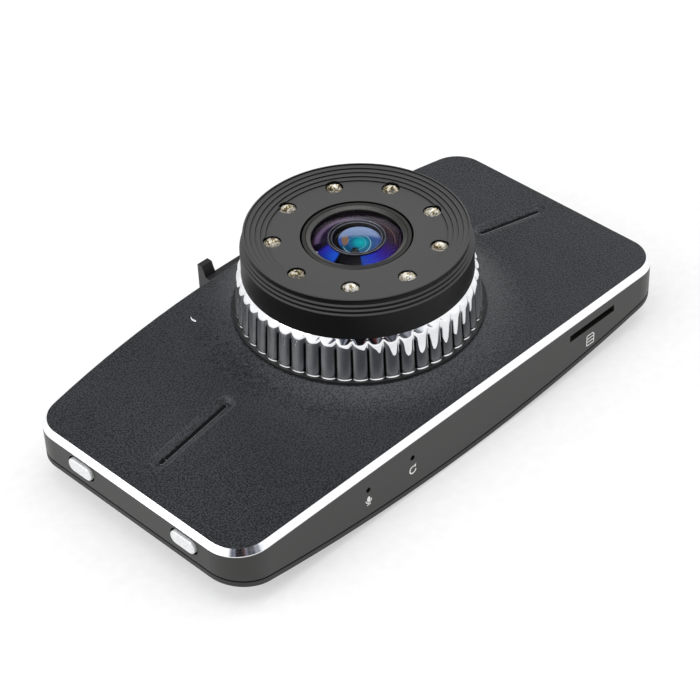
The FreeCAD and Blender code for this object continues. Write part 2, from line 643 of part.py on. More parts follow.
# ---------------------------------------------------------------- screen
def lcd_window():
    return rounded_plate(WINDOW_LENGTH, WINDOW_WIDTH, 0, WINDOW_THICKNESS, radius=1.9)


def lcd_gasket():
    outer = rounded_plate(LCD_LENGTH, LCD_WIDTH, SCREEN_Z, LCD_Z, radius=0.5)
    return outer.cut(rounded_plate(SCREEN_LENGTH, SCREEN_WIDTH, SCREEN_Z - 1, LCD_Z + 1, radius=0.6))


def lcd_panel():
    return rounded_plate(LCD_LENGTH, LCD_WIDTH, LCD_Z, BACKLIGHT_Z, radius=0.5)


def lcd_backlight():
    return rounded_plate(LCD_LENGTH, LCD_WIDTH, BACKLIGHT_Z, BACKLIGHT_TOP, radius=0.8)


def lcd_flex():
    """Flat cable with a foot on the backlight and a riser to the board."""
    x0, x1 = LCD_FLEX["x"]
    y = PEDESTAL_Y + LCD_FLEX["from_middle"]
    sheet = LCD_FLEX["thickness"]
    foot = box(x0, x1, y, y + LCD_FLEX["foot"], BACKLIGHT_TOP, BACKLIGHT_TOP + sheet)
    riser = box(x0, x1, y, y + sheet, BACKLIGHT_TOP, BOARD_BOTTOM)
    return join([foot, riser])


# ---------------------------------------------------------------- lens head
def shoulder_profile():
    """Ridges round the shoulder: (radius, height) pairs from the barrel up to the rim."""
    points = []
    radius = HOUSING_RADIUS
    z = HOUSING_TOP - 0.6 - SHOULDER_STEPS * SHOULDER_RISE
    for _ in range(SHOULDER_STEPS):
        points += [(radius, z), (radius - 0.12, z + 0.08)]
        radius -= SHOULDER_INSET
        points += [(radius - 0.12, z + 0.2)]
        z += SHOULDER_RISE
    points += [(radius - 0.12, z), (FACE_OUTER_RADIUS + FACE_RIM_WIDTH - 0.1, HOUSING_TOP - 0.12)]
    points += [(FACE_OUTER_RADIUS + FACE_RIM_WIDTH - 0.25, HOUSING_TOP), (FACE_OUTER_RADIUS, HOUSING_TOP)]
    return points


def face_profile():
    """Steps on the face, falling from the rim to the flat annulus round the lens."""
    points = []
    fall = FACE_DEPTH / (FACE_STEPS + 1)
    for i in range(FACE_STEPS):
        radius = FACE_OUTER_RADIUS - i * FACE_STEP_WIDTH
        z = HOUSING_TOP - (i + 1) * fall
        points += [(radius - 0.06, z), (radius - FACE_STEP_WIDTH, z)]
    points += [(FACE_INNER_RADIUS - 0.06, FACE_LEVEL), (WELL_RADIUS, FACE_LEVEL)]
    return points


def lens_housing():
    flange_top = FLARE_TOP - PANEL_THICKNESS - 0.02
    flange_low = flange_top - HOUSING_FLANGE
    flange_radius = HOUSING_RADIUS + HOUSING_LAP
    profile = [(HOUSING_BORE, flange_low), (flange_radius, flange_low), (flange_radius, flange_top)]
    profile += [(HOUSING_RADIUS, flange_top)]
    profile += shoulder_profile() + face_profile()
    profile += [(WELL_RADIUS, FACE_UNDERSIDE), (HOUSING_BORE, FACE_UNDERSIDE)]
    housing = turned(profile)
    for x, y in lamp_places():
        housing = housing.cut(cylinder(LAMP_RADIUS + LAMP_HOLE_GAP, LAMP_BOARD_TOP, FAR, x, y))
    return housing


def base_flange():
    return ring(FLANGE_RADIUS, HOUSING_RADIUS + FIT / 2, FLARE_TOP, RING_BOTTOM)


def lobed_section(z):
    """Section of the knurled ring: crowned lobes with V grooves between them."""
    pitch = 2 * math.pi / LOBE_COUNT
    half = pitch * LOBE_SHARE / 2
    tip = RING_RADIUS - GROOVE_DEPTH
    edges = []
    for i in range(LOBE_COUNT):
        angle = i * pitch
        start = polar(RING_RADIUS - LOBE_CROWN, angle - half, z)
        crown = polar(RING_RADIUS, angle, z)
        end = polar(RING_RADIUS - LOBE_CROWN, angle + half, z)
        groove = polar(tip, angle + pitch / 2, z)
        next_start = polar(RING_RADIUS - LOBE_CROWN, angle + pitch - half, z)
        edges.append(Part.Arc(start, crown, end).toShape())
        edges.append(Part.LineSegment(end, groove).toShape())
        edges.append(Part.LineSegment(groove, next_start).toShape())
    return Part.Face(Part.Wire(edges))


def polar(radius, angle, z):
    return V(radius * math.cos(angle), radius * math.sin(angle), z)


def knurled_ring():
    """The ring's top slopes at 45 degrees from its bore to the lobes."""
    bore = HOUSING_RADIUS + FIT / 2
    slope = RING_RADIUS - bore
    profile = [(bore, RING_BOTTOM), (RING_RADIUS - RING_FOOT_CHAMFER, RING_BOTTOM)]
    profile += [(RING_RADIUS, RING_BOTTOM + RING_FOOT_CHAMFER), (RING_RADIUS, RING_TOP - slope)]
    profile += [(bore, RING_TOP)]
    lobes = lobed_section(RING_BOTTOM - 1).extrude(V(0, 0, RING_HEIGHT + 2))
    return turned(profile).common(lobes)


def lamp_board():
    inner = RETAINER_RADIUS + 2 * LAMP_BOARD_GAP
    return ring(HOUSING_BORE - LAMP_BOARD_GAP, inner, LAMP_BOARD_LOW, LAMP_BOARD_TOP)


def infrared_lamps():
    """Clear lamps with a low dome, whose tops stand just above the face."""
    centre = LAMP_TOP - LAMP_DOME_RADIUS
    shoulder = centre + math.sqrt(LAMP_DOME_RADIUS ** 2 - LAMP_RADIUS ** 2)
    lamps = []
    for x, y in lamp_places():
        shank = cylinder(LAMP_RADIUS, LAMP_BOARD_TOP, shoulder, x, y)
        dome = Part.makeSphere(LAMP_DOME_RADIUS, V(x, y, centre))
        dome = dome.common(cylinder(LAMP_RADIUS, shoulder - 0.01, FAR, x, y))
        lamps.append(join([shank, dome]))
    return Part.makeCompound(lamps)


def retaining_ring():
    """Ring over the glass: a lip, a slope, a fine groove and a flat outer band."""
    lip = APERTURE_Z - RETAINER_LIP + 0.02
    skirt = front_glass_rim() - 1.2
    bore = FRONT_GLASS_RADIUS + FIT
    band = RETAINER_RADIUS - RETAINER_RIM
    half = RETAINER_GROOVE / 2
    return turned([
        (APERTURE_RADIUS, APERTURE_Z - half), (APERTURE_RADIUS + half, APERTURE_Z),
        (band - RETAINER_GROOVE, RETAINER_TOP - half), (band - half, RETAINER_TOP - 3 * half),
        (band, RETAINER_TOP), (RETAINER_RADIUS - half, RETAINER_TOP), (RETAINER_RADIUS, RETAINER_TOP - half),
        (RETAINER_RADIUS, skirt), (bore, skirt), (bore, lip), (APERTURE_RADIUS, lip)])


def front_glass_top():
    return APERTURE_Z - RETAINER_LIP + dome_rise(APERTURE_RADIUS)


def front_glass_rim():
    """Height where the front glass's dome meets its cylindrical edge."""
    return front_glass_top() - dome_rise(FRONT_GLASS_RADIUS)


def dome_rise(radius):
    return FRONT_GLASS_CURVE - math.sqrt(FRONT_GLASS_CURVE ** 2 - radius ** 2)


def front_element():
    top = front_glass_top()
    dome = Part.makeSphere(FRONT_GLASS_CURVE, V(0, 0, top - FRONT_GLASS_CURVE))
    low = front_glass_rim() - FRONT_GLASS_EDGE
    blank = cylinder(FRONT_GLASS_RADIUS, low, FAR).common(dome)
    hollow = Part.makeSphere(FRONT_GLASS_HOLLOW, V(0, 0, top - FRONT_GLASS_MIDDLE - FRONT_GLASS_HOLLOW))
    return blank.cut(hollow)


def lens_cell():
    """Black tube: wide above to seat the front glass, narrow below to screw into the holder."""
    seat = front_glass_rim() - FRONT_GLASS_EDGE
    wide = FRONT_GLASS_RADIUS + FIT
    outer = RETAINER_RADIUS - 0.1
    neck = CELL_LOW + CELL_THREAD
    return turned([
        (CELL_BORE_LOW, CELL_LOW), (CELL_THREAD_RADIUS, CELL_LOW), (CELL_THREAD_RADIUS, neck),
        (outer, neck + 0.6), (outer, seat + 1.6), (wide, seat + 1.6), (wide, seat),
        (CELL_SEAT_RADIUS, seat - 0.05), (CELL_BORE_HIGH, seat - CELL_SEAT_FALL),
        (CELL_BORE_HIGH, seat - CELL_BARREL), (CELL_BORE_LOW, seat - CELL_BARREL - 0.6)])


def biconvex(radius, z0, z1, curve_low, curve_high):
    lens = cylinder(radius, z0, z1)
    lens = lens.common(Part.makeSphere(curve_high, V(0, 0, z1 - curve_high)))
    return lens.common(Part.makeSphere(curve_low, V(0, 0, z0 + curve_low)))


def inner_elements():
    """Three glasses, each a hair smaller than its bore."""
    seat = front_glass_rim() - FRONT_GLASS_EDGE
    upper = CELL_BORE_HIGH - 0.05
    lower = CELL_BORE_LOW - 0.05
    return Part.makeCompound([
        biconvex(upper, seat - 4.4, seat - 0.6, 12.0, 7.0),
        biconvex(lower, CELL_LOW + 2.6, seat - CELL_BARREL - 0.8, 9.0, 9.0),
        biconvex(lower, CELL_LOW + 0.3, CELL_LOW + 2.3, 14.0, 8.0),
    ])


def lens_holder():
    """Square foot on the sensor's board with a collar for the cell's thread."""
    base = block(HOLDER_BASE, SENSOR_Z)
    collar = cylinder(HOLDER_COLLAR_RADIUS, SENSOR_Z, CELL_LOW + HOLDER_COLLAR_LAP)
    holder = join([base, collar])
    holder = holder.cut(block(HOLDER_ROOM, SENSOR_Z))
    holder = holder.cut(cylinder(HOLDER_WINDOW_RADIUS, SENSOR_Z, FAR))
    return holder.cut(cylinder(CELL_THREAD_RADIUS + 0.05, CELL_LOW - 0.4, FAR))


def infrared_filter():
    return block(FILTER_SIZE, SENSOR_Z + SENSOR_SIZE[2] + 0.05)


def image_sensor():
    return block(SENSOR_SIZE, SENSOR_Z)


def sensor_board():
    return block(SENSOR_BOARD_SIZE, SENSOR_BOARD_Z)


def sensor_connector():
    return block(CONNECTOR_SIZE, BOARD_TOP, (0, CONNECTOR_Y))


def lamp_flex():
    size = (LAMP_FLEX["thickness"], LAMP_FLEX["width"], LAMP_BOARD_LOW - BOARD_TOP)
    return block(size, BOARD_TOP, (LAMP_CIRCLE + LAMP_FLEX["from_lamps"], 0))


# ---------------------------------------------------------------- board and sockets
def main_board():
    board = prism(BOARD_INSET, BOARD_BOTTOM, BOARD_TOP)
    for x, y in screw_places():
        board = board.cut(cylinder(BOSS_RADIUS + 0.4, 0, FAR, x, y))
    for x, y in board_screw_places():
        board = board.cut(cylinder(SCREW_SHANK_RADIUS + FIT, 0, FAR, x, y))
    board = board.cut(usb_space(GROMMET_GAP))
    board = board.cut(av_space(GROMMET_GAP))
    board = board.cut(cylinder(SPEAKER_RADIUS + 0.5, 0, FAR, SPEAKER_X, PEDESTAL_Y))
    return board.cut(box(MIC_X - 4, MIC_X + 4, Y_LOW, Y_LOW + 6.5, 0, FAR))


def on_board(piece):
    return block(piece["size"], BOARD_TOP, piece["centre"])


def small_parts():
    """Coils, capacitors and the motion sensor on top of the board."""
    rows = [block(row["size"], BOARD_TOP, (x, row["y"])) for row in (COILS, CAPACITORS) for x in row["x"]]
    return Part.makeCompound(rows + [on_board(MOTION_SENSOR)])


def card_space(gap, y0, y1):
    half = CARD_SLOT_LENGTH / 2 + gap
    rise = CARD_SLOT_HEIGHT / 2 + gap
    return box(CARD_SLOT_X - half, CARD_SLOT_X + half, y0, y1, CARD_SLOT_Z - rise, CARD_SLOT_Z + rise)


def card_socket():
    """Sheet-metal shell over the card's space, on the board just inside the wall."""
    y0 = Y_LOW + WALL + FIT
    half = CARD_SLOT_LENGTH / 2 + CARD_SOCKET_SIDE
    top = CARD_SLOT_Z + CARD_SLOT_HEIGHT / 2 + 0.4
    shell = box(CARD_SLOT_X - half, CARD_SLOT_X + half, y0, y0 + CARD_SOCKET_DEPTH, BOARD_TOP, top)
    return shell.cut(card_space(0.05, y0 - 1, y0 + CARD_DEPTH))


def card_slider():
    """Push-push slider at the back of the card's space."""
    y1 = Y_LOW + WALL + FIT + CARD_SLIDER_FROM_WALL
    rise = CARD_SLOT_HEIGHT / 2 - FIT
    x1 = CARD_SLOT_X + CARD_SLOT_LENGTH / 2 - FIT
    length, depth = CARD_SLIDER
    return box(x1 - length, x1, y1 - depth, y1, CARD_SLOT_Z - rise, CARD_SLOT_Z + rise)


def usb_space(gap):
    """Room for the power inlet, open through the wall."""
    x, y, z = USB_SIZE
    mouth = wall_y(USB_X) - USB_INSET
    outside = wall_y(USB_X + x / 2) + 1.0
    return box(USB_X - x / 2 - gap, USB_X + x / 2 + gap, mouth - y - gap, outside,
               USB_Z - z / 2 - gap, USB_Z + z / 2 + gap)


def usb_socket():
    """Mini USB power inlet: a steel shell with a plastic tongue, its mouth just inside the wall."""
    x, y, z = USB_SIZE
    mouth = wall_y(USB_X) - USB_INSET
    half_x, half_z = x / 2 - USB_SHEET, z / 2 - USB_SHEET
    shell = box(USB_X - x / 2, USB_X + x / 2, mouth - y, mouth, USB_Z - z / 2, USB_Z + z / 2)
    room = box(USB_X - half_x, USB_X + half_x, mouth - y + 1.5, mouth + 1, USB_Z - half_z, USB_Z + half_z)
    width, thickness = USB_TONGUE
    tongue = box(USB_X - width / 2, USB_X + width / 2, mouth - y + 1.0, mouth - 1.0,
                 USB_Z - thickness / 2, USB_Z + thickness / 2)
    return join([shell.cut(room), tongue])


def av_space(gap):
    """Room for the jack's block and nose."""
    x, y, z = AV_SIZE
    x1 = X_RIGHT - WALL - FIT
    room = box(x1 - x - gap, x1 + gap, AV_Y - y / 2 - gap, AV_Y + y / 2 + gap,
               AV_Z - z / 2 - gap, AV_Z + z / 2 + gap)
    return room.fuse(along_x(AV_NOSE_RADIUS + FIT, AV_Y, AV_Z, X_RIGHT - WALL - 1, X_RIGHT + 1))


def av_jack():
    """Jack for a second camera: a block with a nose that fills the wall's hole."""
    x, y, z = AV_SIZE
    x1 = X_RIGHT - WALL - FIT
    body = box(x1 - x, x1, AV_Y - y / 2, AV_Y + y / 2, AV_Z - z / 2, AV_Z + z / 2)
    nose = along_x(AV_NOSE_RADIUS, AV_Y, AV_Z, x1 - 1, X_RIGHT - 0.2)
    return join([body, nose]).cut(along_x(AV_BORE_RADIUS, AV_Y, AV_Z, x1 - x + 1, X_RIGHT + 1))


def microphone():
    y0 = Y_LOW + WALL + FIT + BOOT_NOSE
    return along_y(MIC_RADIUS, MIC_X, PIN_HOLE_Z, y0, y0 + MIC_DEPTH)


def microphone_boot():
    """Rubber cup that seals the microphone to its hole."""
    y0 = Y_LOW + WALL + FIT
    boot = along_y(MIC_RADIUS + BOOT_WALL, MIC_X, PIN_HOLE_Z, y0, y0 + BOOT_DEPTH)
    boot = boot.cut(along_y(MIC_RADIUS, MIC_X, PIN_HOLE_Z, y0 + BOOT_NOSE, y0 + BOOT_DEPTH + 1))
    return boot.cut(along_y(PIN_HOLE_RADIUS, MIC_X, PIN_HOLE_Z, y0 - 1, y0 + BOOT_DEPTH))


def reset_plunger_low_y():
    return Y_LOW + WALL + 0.7


def reset_switch():
    """Switch behind the reset hole, with a slot that the plunger slides in."""
    length, depth = RESET_BODY
    width, reach = RESET_PLUNGER
    y0 = Y_LOW + WALL + 1.6
    half = width / 2 + RESET_PLUNGER_GAP
    end = reset_plunger_low_y() + reach + RESET_TRAVEL + 0.3
    body = box(RESET_X - length / 2, RESET_X + length / 2, y0, y0 + depth, BOARD_TOP, PIN_HOLE_Z + 1.1)
    return body.cut(box(RESET_X - half, RESET_X + half, y0 - 1, end, BOARD_TOP - 1, PIN_HOLE_Z + 0.5))


def reset_plunger():
    width, reach = RESET_PLUNGER
    y0 = reset_plunger_low_y()
    return box(RESET_X - width / 2, RESET_X + width / 2, y0, y0 + reach, BOARD_TOP + 0.06, PIN_HOLE_Z + 0.4)


# ---------------------------------------------------------------- buttons and keys
def side_button_cap(y):
    """Capsule that shows, flange that keeps it in, stem that meets the switch."""
    outer = X_LEFT - SIDE_BUTTON_PROUD
    inner = X_LEFT + WALL + FIT
    cap = capsule_along_x(SIDE_BUTTON_LENGTH, SIDE_BUTTON_HEIGHT, outer, inner, y, SIDE_BUTTON_Z)
    cap = cap.makeFillet(0.25, [edge for edge in cap.Edges if abs(edge.BoundBox.XMax - outer) < 1e-6])
    length = SIDE_BUTTON_LENGTH + 2 * SIDE_BUTTON_LAP
    height = SIDE_BUTTON_HEIGHT + 2 * FIT
    flange = capsule_along_x(length, height, inner, inner + SIDE_BUTTON_FLANGE, y, SIDE_BUTTON_Z)
    stem = along_x(SIDE_PLUNGER_RADIUS - 0.05, y, SIDE_BUTTON_Z, inner, SIDE_SWITCH_X - SIDE_PLUNGER[0])
    return join([cap, flange, stem])


def side_switches():
    """Two upright tact switches, one behind each side button."""
    depth, length = SIDE_SWITCH_SIZE
    bore_end = SIDE_SWITCH_X + SIDE_PLUNGER[1] + SIDE_BUTTON_TRAVEL + PLUNGER_END_ROOM
    bodies = []
    for y in SIDE_BUTTON_Y.values():
        body = box(SIDE_SWITCH_X, SIDE_SWITCH_X + depth, y - length / 2, y + length / 2,
                   BOARD_TOP, LEDGE_LOW - FIT)
        bore = along_x(SIDE_PLUNGER_RADIUS + FIT, y, SIDE_BUTTON_Z, SIDE_SWITCH_X - 1, bore_end)
        bodies.append(body.cut(bore))
    return Part.makeCompound(bodies)


def side_plunger(y):
    outside, inside = SIDE_PLUNGER
    return along_x(SIDE_PLUNGER_RADIUS, y, SIDE_BUTTON_Z, SIDE_SWITCH_X - outside, SIDE_SWITCH_X + inside)


def key_cap(x, y):
    """Round key whose face follows the rear's curve."""
    outer = SEAM_HEIGHT - REAR_LIP - KEY_PROUD
    flange_low = SEAM_HEIGHT + FIT
    shaft = cylinder(KEY_RADIUS, -FAR / 4, FAR / 4, x, y).common(above_arch(outer))
    shaft = shaft.cut(above_arch(flange_low + KEY_FLANGE))
    flange = cylinder(KEY_RADIUS + KEY_LAP, -FAR / 4, FAR / 4, x, y).common(above_arch(flange_low))
    flange = flange.cut(above_arch(flange_low + KEY_FLANGE))
    stem = cylinder(TACT_PLUNGER_RADIUS, flange_low + arch_rise(x), key_plunger_low(), x, y)
    return join([shaft, flange, stem])


def key_plunger_low():
    return BOARD_BOTTOM - TACT_HEIGHT - TACT_PLUNGER


def key_plunger_high():
    return BOARD_BOTTOM - TACT_HEIGHT + TACT_PLUNGER_REACH


def key_plunger(x, y):
    return cylinder(TACT_PLUNGER_RADIUS, key_plunger_low(), key_plunger_high(), x, y)


def key_switches():
    """Low tact switches on the underside of the board, one above each key."""
    bore_end = key_plunger_high() + KEY_TRAVEL + PLUNGER_END_ROOM
    bodies = []
    for place in key_places().values():
        body = block((TACT_SIDE, TACT_SIDE, TACT_HEIGHT), BOARD_BOTTOM - TACT_HEIGHT, place)
        bodies.append(body.cut(cylinder(TACT_PLUNGER_RADIUS + FIT, 0, bore_end, *place)))
    return Part.makeCompound(bodies)


# ---------------------------------------------------------------- mount shoe
def mount_shoe():
    """Rail that a bracket slides on from +X, up to the stop at its other end."""
    inner = Y_HIGH + SHOE_GAP
    outer = inner + SHOE_RAIL
    left, right = -SHOE_HALF_LENGTH, SHOE_HALF_LENGTH
    neck = box(left, right, Y_HIGH - 4, inner, SHOE_Z - SHOE_NECK_HALF, SHOE_Z + SHOE_NECK_HALF)
    neck = neck.cut(prism(0, -FAR / 4, FAR / 4))
    rail = box(left, right, inner, outer, SHOE_Z - SHOE_RAIL_HALF, SHOE_Z + SHOE_RAIL_HALF)
    shoe = join([neck, rail, shoe_stop(inner)])
    for x in SHOE_SCREW_X:
        shoe = shoe.cut(along_y(SCREW_SHANK_RADIUS, x, SHOE_Z, 0, outer - 0.8))
    return shoe


def shoe_stop(inner):
    """Lug at the rail's end, with a sloping front that rises past the rail."""
    low = SHOE_Z - SHOE_RAIL_HALF
    high = SHOE_Z + SHOE_RAIL_HALF
    top = high + SHOE_STOP_RISE
    back = inner + SHOE_STOP_DEPTH
    upper, lower = SHOE_STOP_SLOPE
    side = [(inner, low), (back, low), (back, top), (back - upper, top), (inner + lower, high), (inner, high)]
    face = polygon_face([V(-SHOE_HALF_LENGTH, y, z) for y, z in side])
    return face.extrude(V(SHOE_STOP, 0, 0))


# ---------------------------------------------------------------- fasteners and loose pieces
def screw(x, y, head_low, head_high, tip):
    """Screw whose head is at head_low..head_high and whose shank ends at tip."""
    up = tip > head_high
    shank = cylinder(SCREW_SHANK_RADIUS, min(head_low, tip), max(head_high, tip), x, y)
    head = cylinder(SCREW_HEAD_RADIUS, head_low, head_high, x, y)
    outer = head_low if up else head_high
    slot = [box(x - 0.9, x + 0.9, y - 0.2, y + 0.2, outer - 0.45, outer + 0.45),
            box(x - 0.2, x + 0.2, y - 0.9, y + 0.9, outer - 0.45, outer + 0.45)]
    return join([shank, head]).cut(join(slot))


def housing_screws():
    screws = []
    for x, y in screw_places():
        seat = screw_seat(x)
        screws.append(screw(x, y, seat - SCREW_HEAD, seat, LEDGE_LOW - 1.2))
    return Part.makeCompound(screws)


def board_screws():
    screws = [screw(x, y, BOARD_TOP, BOARD_TOP + SCREW_HEAD, board_screw_tip() + 0.4)
              for x, y in board_screw_places()]
    return Part.makeCompound(screws)


def mount_screws():
    """Screws from inside the wall into the shoe."""
    screws = []
    tip = Y_HIGH + SHOE_GAP + SHOE_RAIL - 1.2
    for x in SHOE_SCREW_X:
        seat = wall_y(x + SCREW_HEAD_RADIUS * math.copysign(1, x - XC), WALL)
        head = along_y(SCREW_HEAD_RADIUS, x, SHOE_Z, seat - 0.9, seat)
        screws.append(join([head, along_y(SCREW_SHANK_RADIUS, x, SHOE_Z, seat - 0.5, tip)]))
    return Part.makeCompound(screws)


def speaker():
    z0 = speaker_low()
    basket = cylinder(SPEAKER_RADIUS, z0, z0 + SPEAKER_HEIGHT * 0.6, SPEAKER_X, PEDESTAL_Y)
    magnet = cylinder(SPEAKER_RADIUS * 0.6, z0, z0 + SPEAKER_HEIGHT, SPEAKER_X, PEDESTAL_Y)
    cone = cylinder(SPEAKER_RADIUS - SPEAKER_RIM, z0 - 1, z0 + 0.5, SPEAKER_X, PEDESTAL_Y)
    return join([basket, magnet]).cut(cone)


def speaker_low():
    return SEAM_HEIGHT + arch_rise(SPEAKER_X + SPEAKER_RADIUS) + 0.3


def speaker_gasket():
    gasket = ring(SPEAKER_RADIUS, SPEAKER_RADIUS - SPEAKER_RIM, 0, speaker_low(), SPEAKER_X, PEDESTAL_Y)
    return gasket.common(above_arch(SEAM_HEIGHT))


def battery():
    """Foil pouch cell on the board, beside the left posts."""
    length, width, height = BATTERY_SIZE
    x0 = board_screw_places()[0][0] + SCREW_HEAD_RADIUS + 0.4
    cell = block(BATTERY_SIZE, BOARD_TOP + FIT, (x0 + length / 2, BATTERY_Y))
    uprights = [e for e in cell.Edges if abs(e.Vertexes[0].Z - e.Vertexes[1].Z) > height / 2]
    return cell.makeFillet(1.0, uprights)


# ---------------------------------------------------------------- build
def all_parts():
    light = indicator(FIT / 2)
    parts = {
        "front_panel": front_panel(),
        "bezel_trim": bezel_trim(),
        "middle_frame": middle_frame(),
        "rear_cover": rear_cover(),
        "lcd_window": lcd_window(),
        "lcd_gasket": lcd_gasket(),
        "lcd_panel": lcd_panel(),
        "lcd_backlight": lcd_backlight(),
        "lcd_flex": lcd_flex(),
        "left_slot_insert": slot_insert(LEFT_SLOT, light),
        "right_slot_insert": slot_insert(RIGHT_SLOT, None),
        "indicator_light": indicator(0),
        "base_flange": base_flange(),
        "knurled_ring": knurled_ring(),
        "lens_housing": lens_housing(),
        "lamp_board": lamp_board(),
        "infrared_lamps": infrared_lamps(),
        "lamp_flex": lamp_flex(),
        "retaining_ring": retaining_ring(),
        "front_element": front_element(),
        "lens_cell": lens_cell(),
        "inner_elements": inner_elements(),
        "infrared_filter": infrared_filter(),
        "lens_holder": lens_holder(),
        "image_sensor": image_sensor(),
        "sensor_board": sensor_board(),
        "sensor_connector": sensor_connector(),
        "main_board": main_board(),
        "processor": on_board(PROCESSOR),
        "memory_chip": on_board(MEMORY),
        "small_parts": small_parts(),
        "card_socket": card_socket(),
        "card_slider": card_slider(),
        "usb_socket": usb_socket(),
        "av_jack": av_jack(),
        "microphone": microphone(),
        "microphone_boot": microphone_boot(),
        "reset_switch": reset_switch(),
        "reset_plunger": reset_plunger(),
        "side_switches": side_switches(),
        "key_switches": key_switches(),
        "mount_shoe": mount_shoe(),
        "mount_screws": mount_screws(),
        "housing_screws": housing_screws(),
        "board_screws": board_screws(),
        "speaker": speaker(),
        "speaker_gasket": speaker_gasket(),
        "battery": battery(),
    }
    for name, y in SIDE_BUTTON_Y.items():
        parts[name + "_button"] = side_button_cap(y)
        parts[name + "_plunger"] = side_plunger(y)
    for name, (x, y) in key_places().items():
        parts[name + "_key"] = key_cap(x, y)
        parts[name + "_key_plunger"] = key_plunger(x, y)
    return parts


def main():
    os.makedirs("parts", exist_ok=True)
    for name, shape in all_parts().items():
        print(name, "solids", len(shape.Solids), "volume", round(shape.Volume, 2), "valid", shape.isValid())
        shape.exportStep("parts/" + name + ".step")


main()
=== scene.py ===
# %% [markdown]
# # A dash camera, finished for a studio picture
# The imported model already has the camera's real pieces in their real places, in metres.  This lesson
# gives every piece its finish, and adds what the solids leave out: the coloured coatings inside the
# lens, the metal cups inside the lamps, soft edges on the chrome and the small printed signs.
# Each step first says what the real thing is, how it could be made, and why one way was chosen.

# %% Load the frame
import math
import bmesh
import bpy
from mathutils import Matrix, Vector


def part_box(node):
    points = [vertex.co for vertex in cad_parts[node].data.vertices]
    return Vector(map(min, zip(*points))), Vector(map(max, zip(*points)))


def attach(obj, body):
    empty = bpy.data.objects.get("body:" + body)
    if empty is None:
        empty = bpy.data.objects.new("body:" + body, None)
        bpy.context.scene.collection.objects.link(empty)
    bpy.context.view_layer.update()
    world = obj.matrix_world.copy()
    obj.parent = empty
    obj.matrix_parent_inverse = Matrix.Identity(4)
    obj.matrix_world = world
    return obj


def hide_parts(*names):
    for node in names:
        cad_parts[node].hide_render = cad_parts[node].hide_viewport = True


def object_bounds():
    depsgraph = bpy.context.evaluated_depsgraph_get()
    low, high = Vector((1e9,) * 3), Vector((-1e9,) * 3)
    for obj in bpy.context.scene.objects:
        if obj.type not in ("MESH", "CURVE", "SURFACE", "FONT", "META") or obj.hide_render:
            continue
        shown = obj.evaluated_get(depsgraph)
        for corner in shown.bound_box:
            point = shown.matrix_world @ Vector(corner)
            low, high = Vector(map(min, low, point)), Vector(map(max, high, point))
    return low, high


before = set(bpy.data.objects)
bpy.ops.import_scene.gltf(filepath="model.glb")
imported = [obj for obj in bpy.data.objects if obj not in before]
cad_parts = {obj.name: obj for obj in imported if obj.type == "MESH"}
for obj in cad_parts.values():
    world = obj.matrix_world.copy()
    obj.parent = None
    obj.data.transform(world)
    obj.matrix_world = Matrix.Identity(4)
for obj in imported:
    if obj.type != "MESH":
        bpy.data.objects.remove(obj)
cad_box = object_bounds()
MM = 0.001
print("CAD box in mm", [[round(v / MM, 2) for v in corner] for corner in cad_box])

# %% [markdown]
# ## The camera
# A product picture is usually taken with a long lens, so that parallel edges stay nearly parallel.
# The lens, the turn round the object and the slight roll are set as numbers, and the camera is then
# placed along one line from the point it aims at.  A "track to" constraint would also aim it, but a
# plain matrix is easier to read back and holds the roll exactly.

# %% Place the camera
AZIMUTH = math.radians(-44.272)
ELEVATION = math.radians(39.802)
ROLL = math.radians(-2.191)
AIM = Vector((1.937, 4.669, -0.5)) * MM
DISTANCE = 400.816 * MM
LENS_MM = 115.44
SENSOR_MM = 36
NEAREST = 10 * MM


def camera_axes():
    level = math.cos(ELEVATION)
    back = Vector((math.sin(AZIMUTH) * level, -math.cos(AZIMUTH) * level, math.sin(ELEVATION)))
    right = Vector((math.cos(AZIMUTH), math.sin(AZIMUTH), 0))
    up = back.cross(right)
    rolled_right = right * math.cos(ROLL) + up * math.sin(ROLL)
    rolled_up = up * math.cos(ROLL) - right * math.sin(ROLL)
    return rolled_right, rolled_up, back


right, up, back = camera_axes()
lens = bpy.data.cameras.new("studio_camera")
lens.lens = LENS_MM
lens.sensor_width = SENSOR_MM
lens.clip_start = NEAREST
studio_camera = bpy.data.objects.new("studio_camera", lens)
turn = Matrix((right, up, back)).transposed().to_4x4()
studio_camera.matrix_world = Matrix.Translation(AIM + back * DISTANCE) @ turn
bpy.context.scene.collection.objects.link(studio_camera)
bpy.context.scene.camera = studio_camera
bpy.context.scene.view_settings.view_transform = "Standard"
print("camera stands at", [round(v, 3) for v in studio_camera.location])

# %% [markdown]
# ## Colour and node helpers
# Colours are written as the hex values a designer would pick on a screen, and turned into the linear
# values that light calculations need.  One function adds any node with its settings and its links, so
# each material further down reads as a short list of what feeds what.

# %% Turn a hex colour into linear light
def linear(code, alpha=1.0):
    channels = [int(code[i:i + 2], 16) / 255 for i in (1, 3, 5)]
    return tuple(c / 12.92 if c <= 0.04045 else ((c + 0.055) / 1.055) ** 2.4 for c in channels) + (alpha,)


print("mid grey is", [round(v, 3) for v in linear("#808080")])


# %% Add a node with its settings and links
def add(tree, kind, values=None, links=None, stops=None, **settings):
    """values and links go by socket, stops fill a colour ramp, and settings are the node's own."""
    made = tree.nodes.new("ShaderNode" + kind)
    for name, value in settings.items():
        setattr(made, name, value)
    for socket, value in (values or {}).items():
        made.inputs[socket].default_value = value
    for socket, source in (links or {}).items():
        tree.links.new(source, made.inputs[socket])
    if stops:
        points = made.color_ramp.elements
        while len(points) < len(stops):
            points.new(1.0)
        for point, (place, colour) in zip(points, stops):
            point.position = place
            point.color = linear(colour) if isinstance(colour, str) else (colour, colour, colour, 1)
    return made


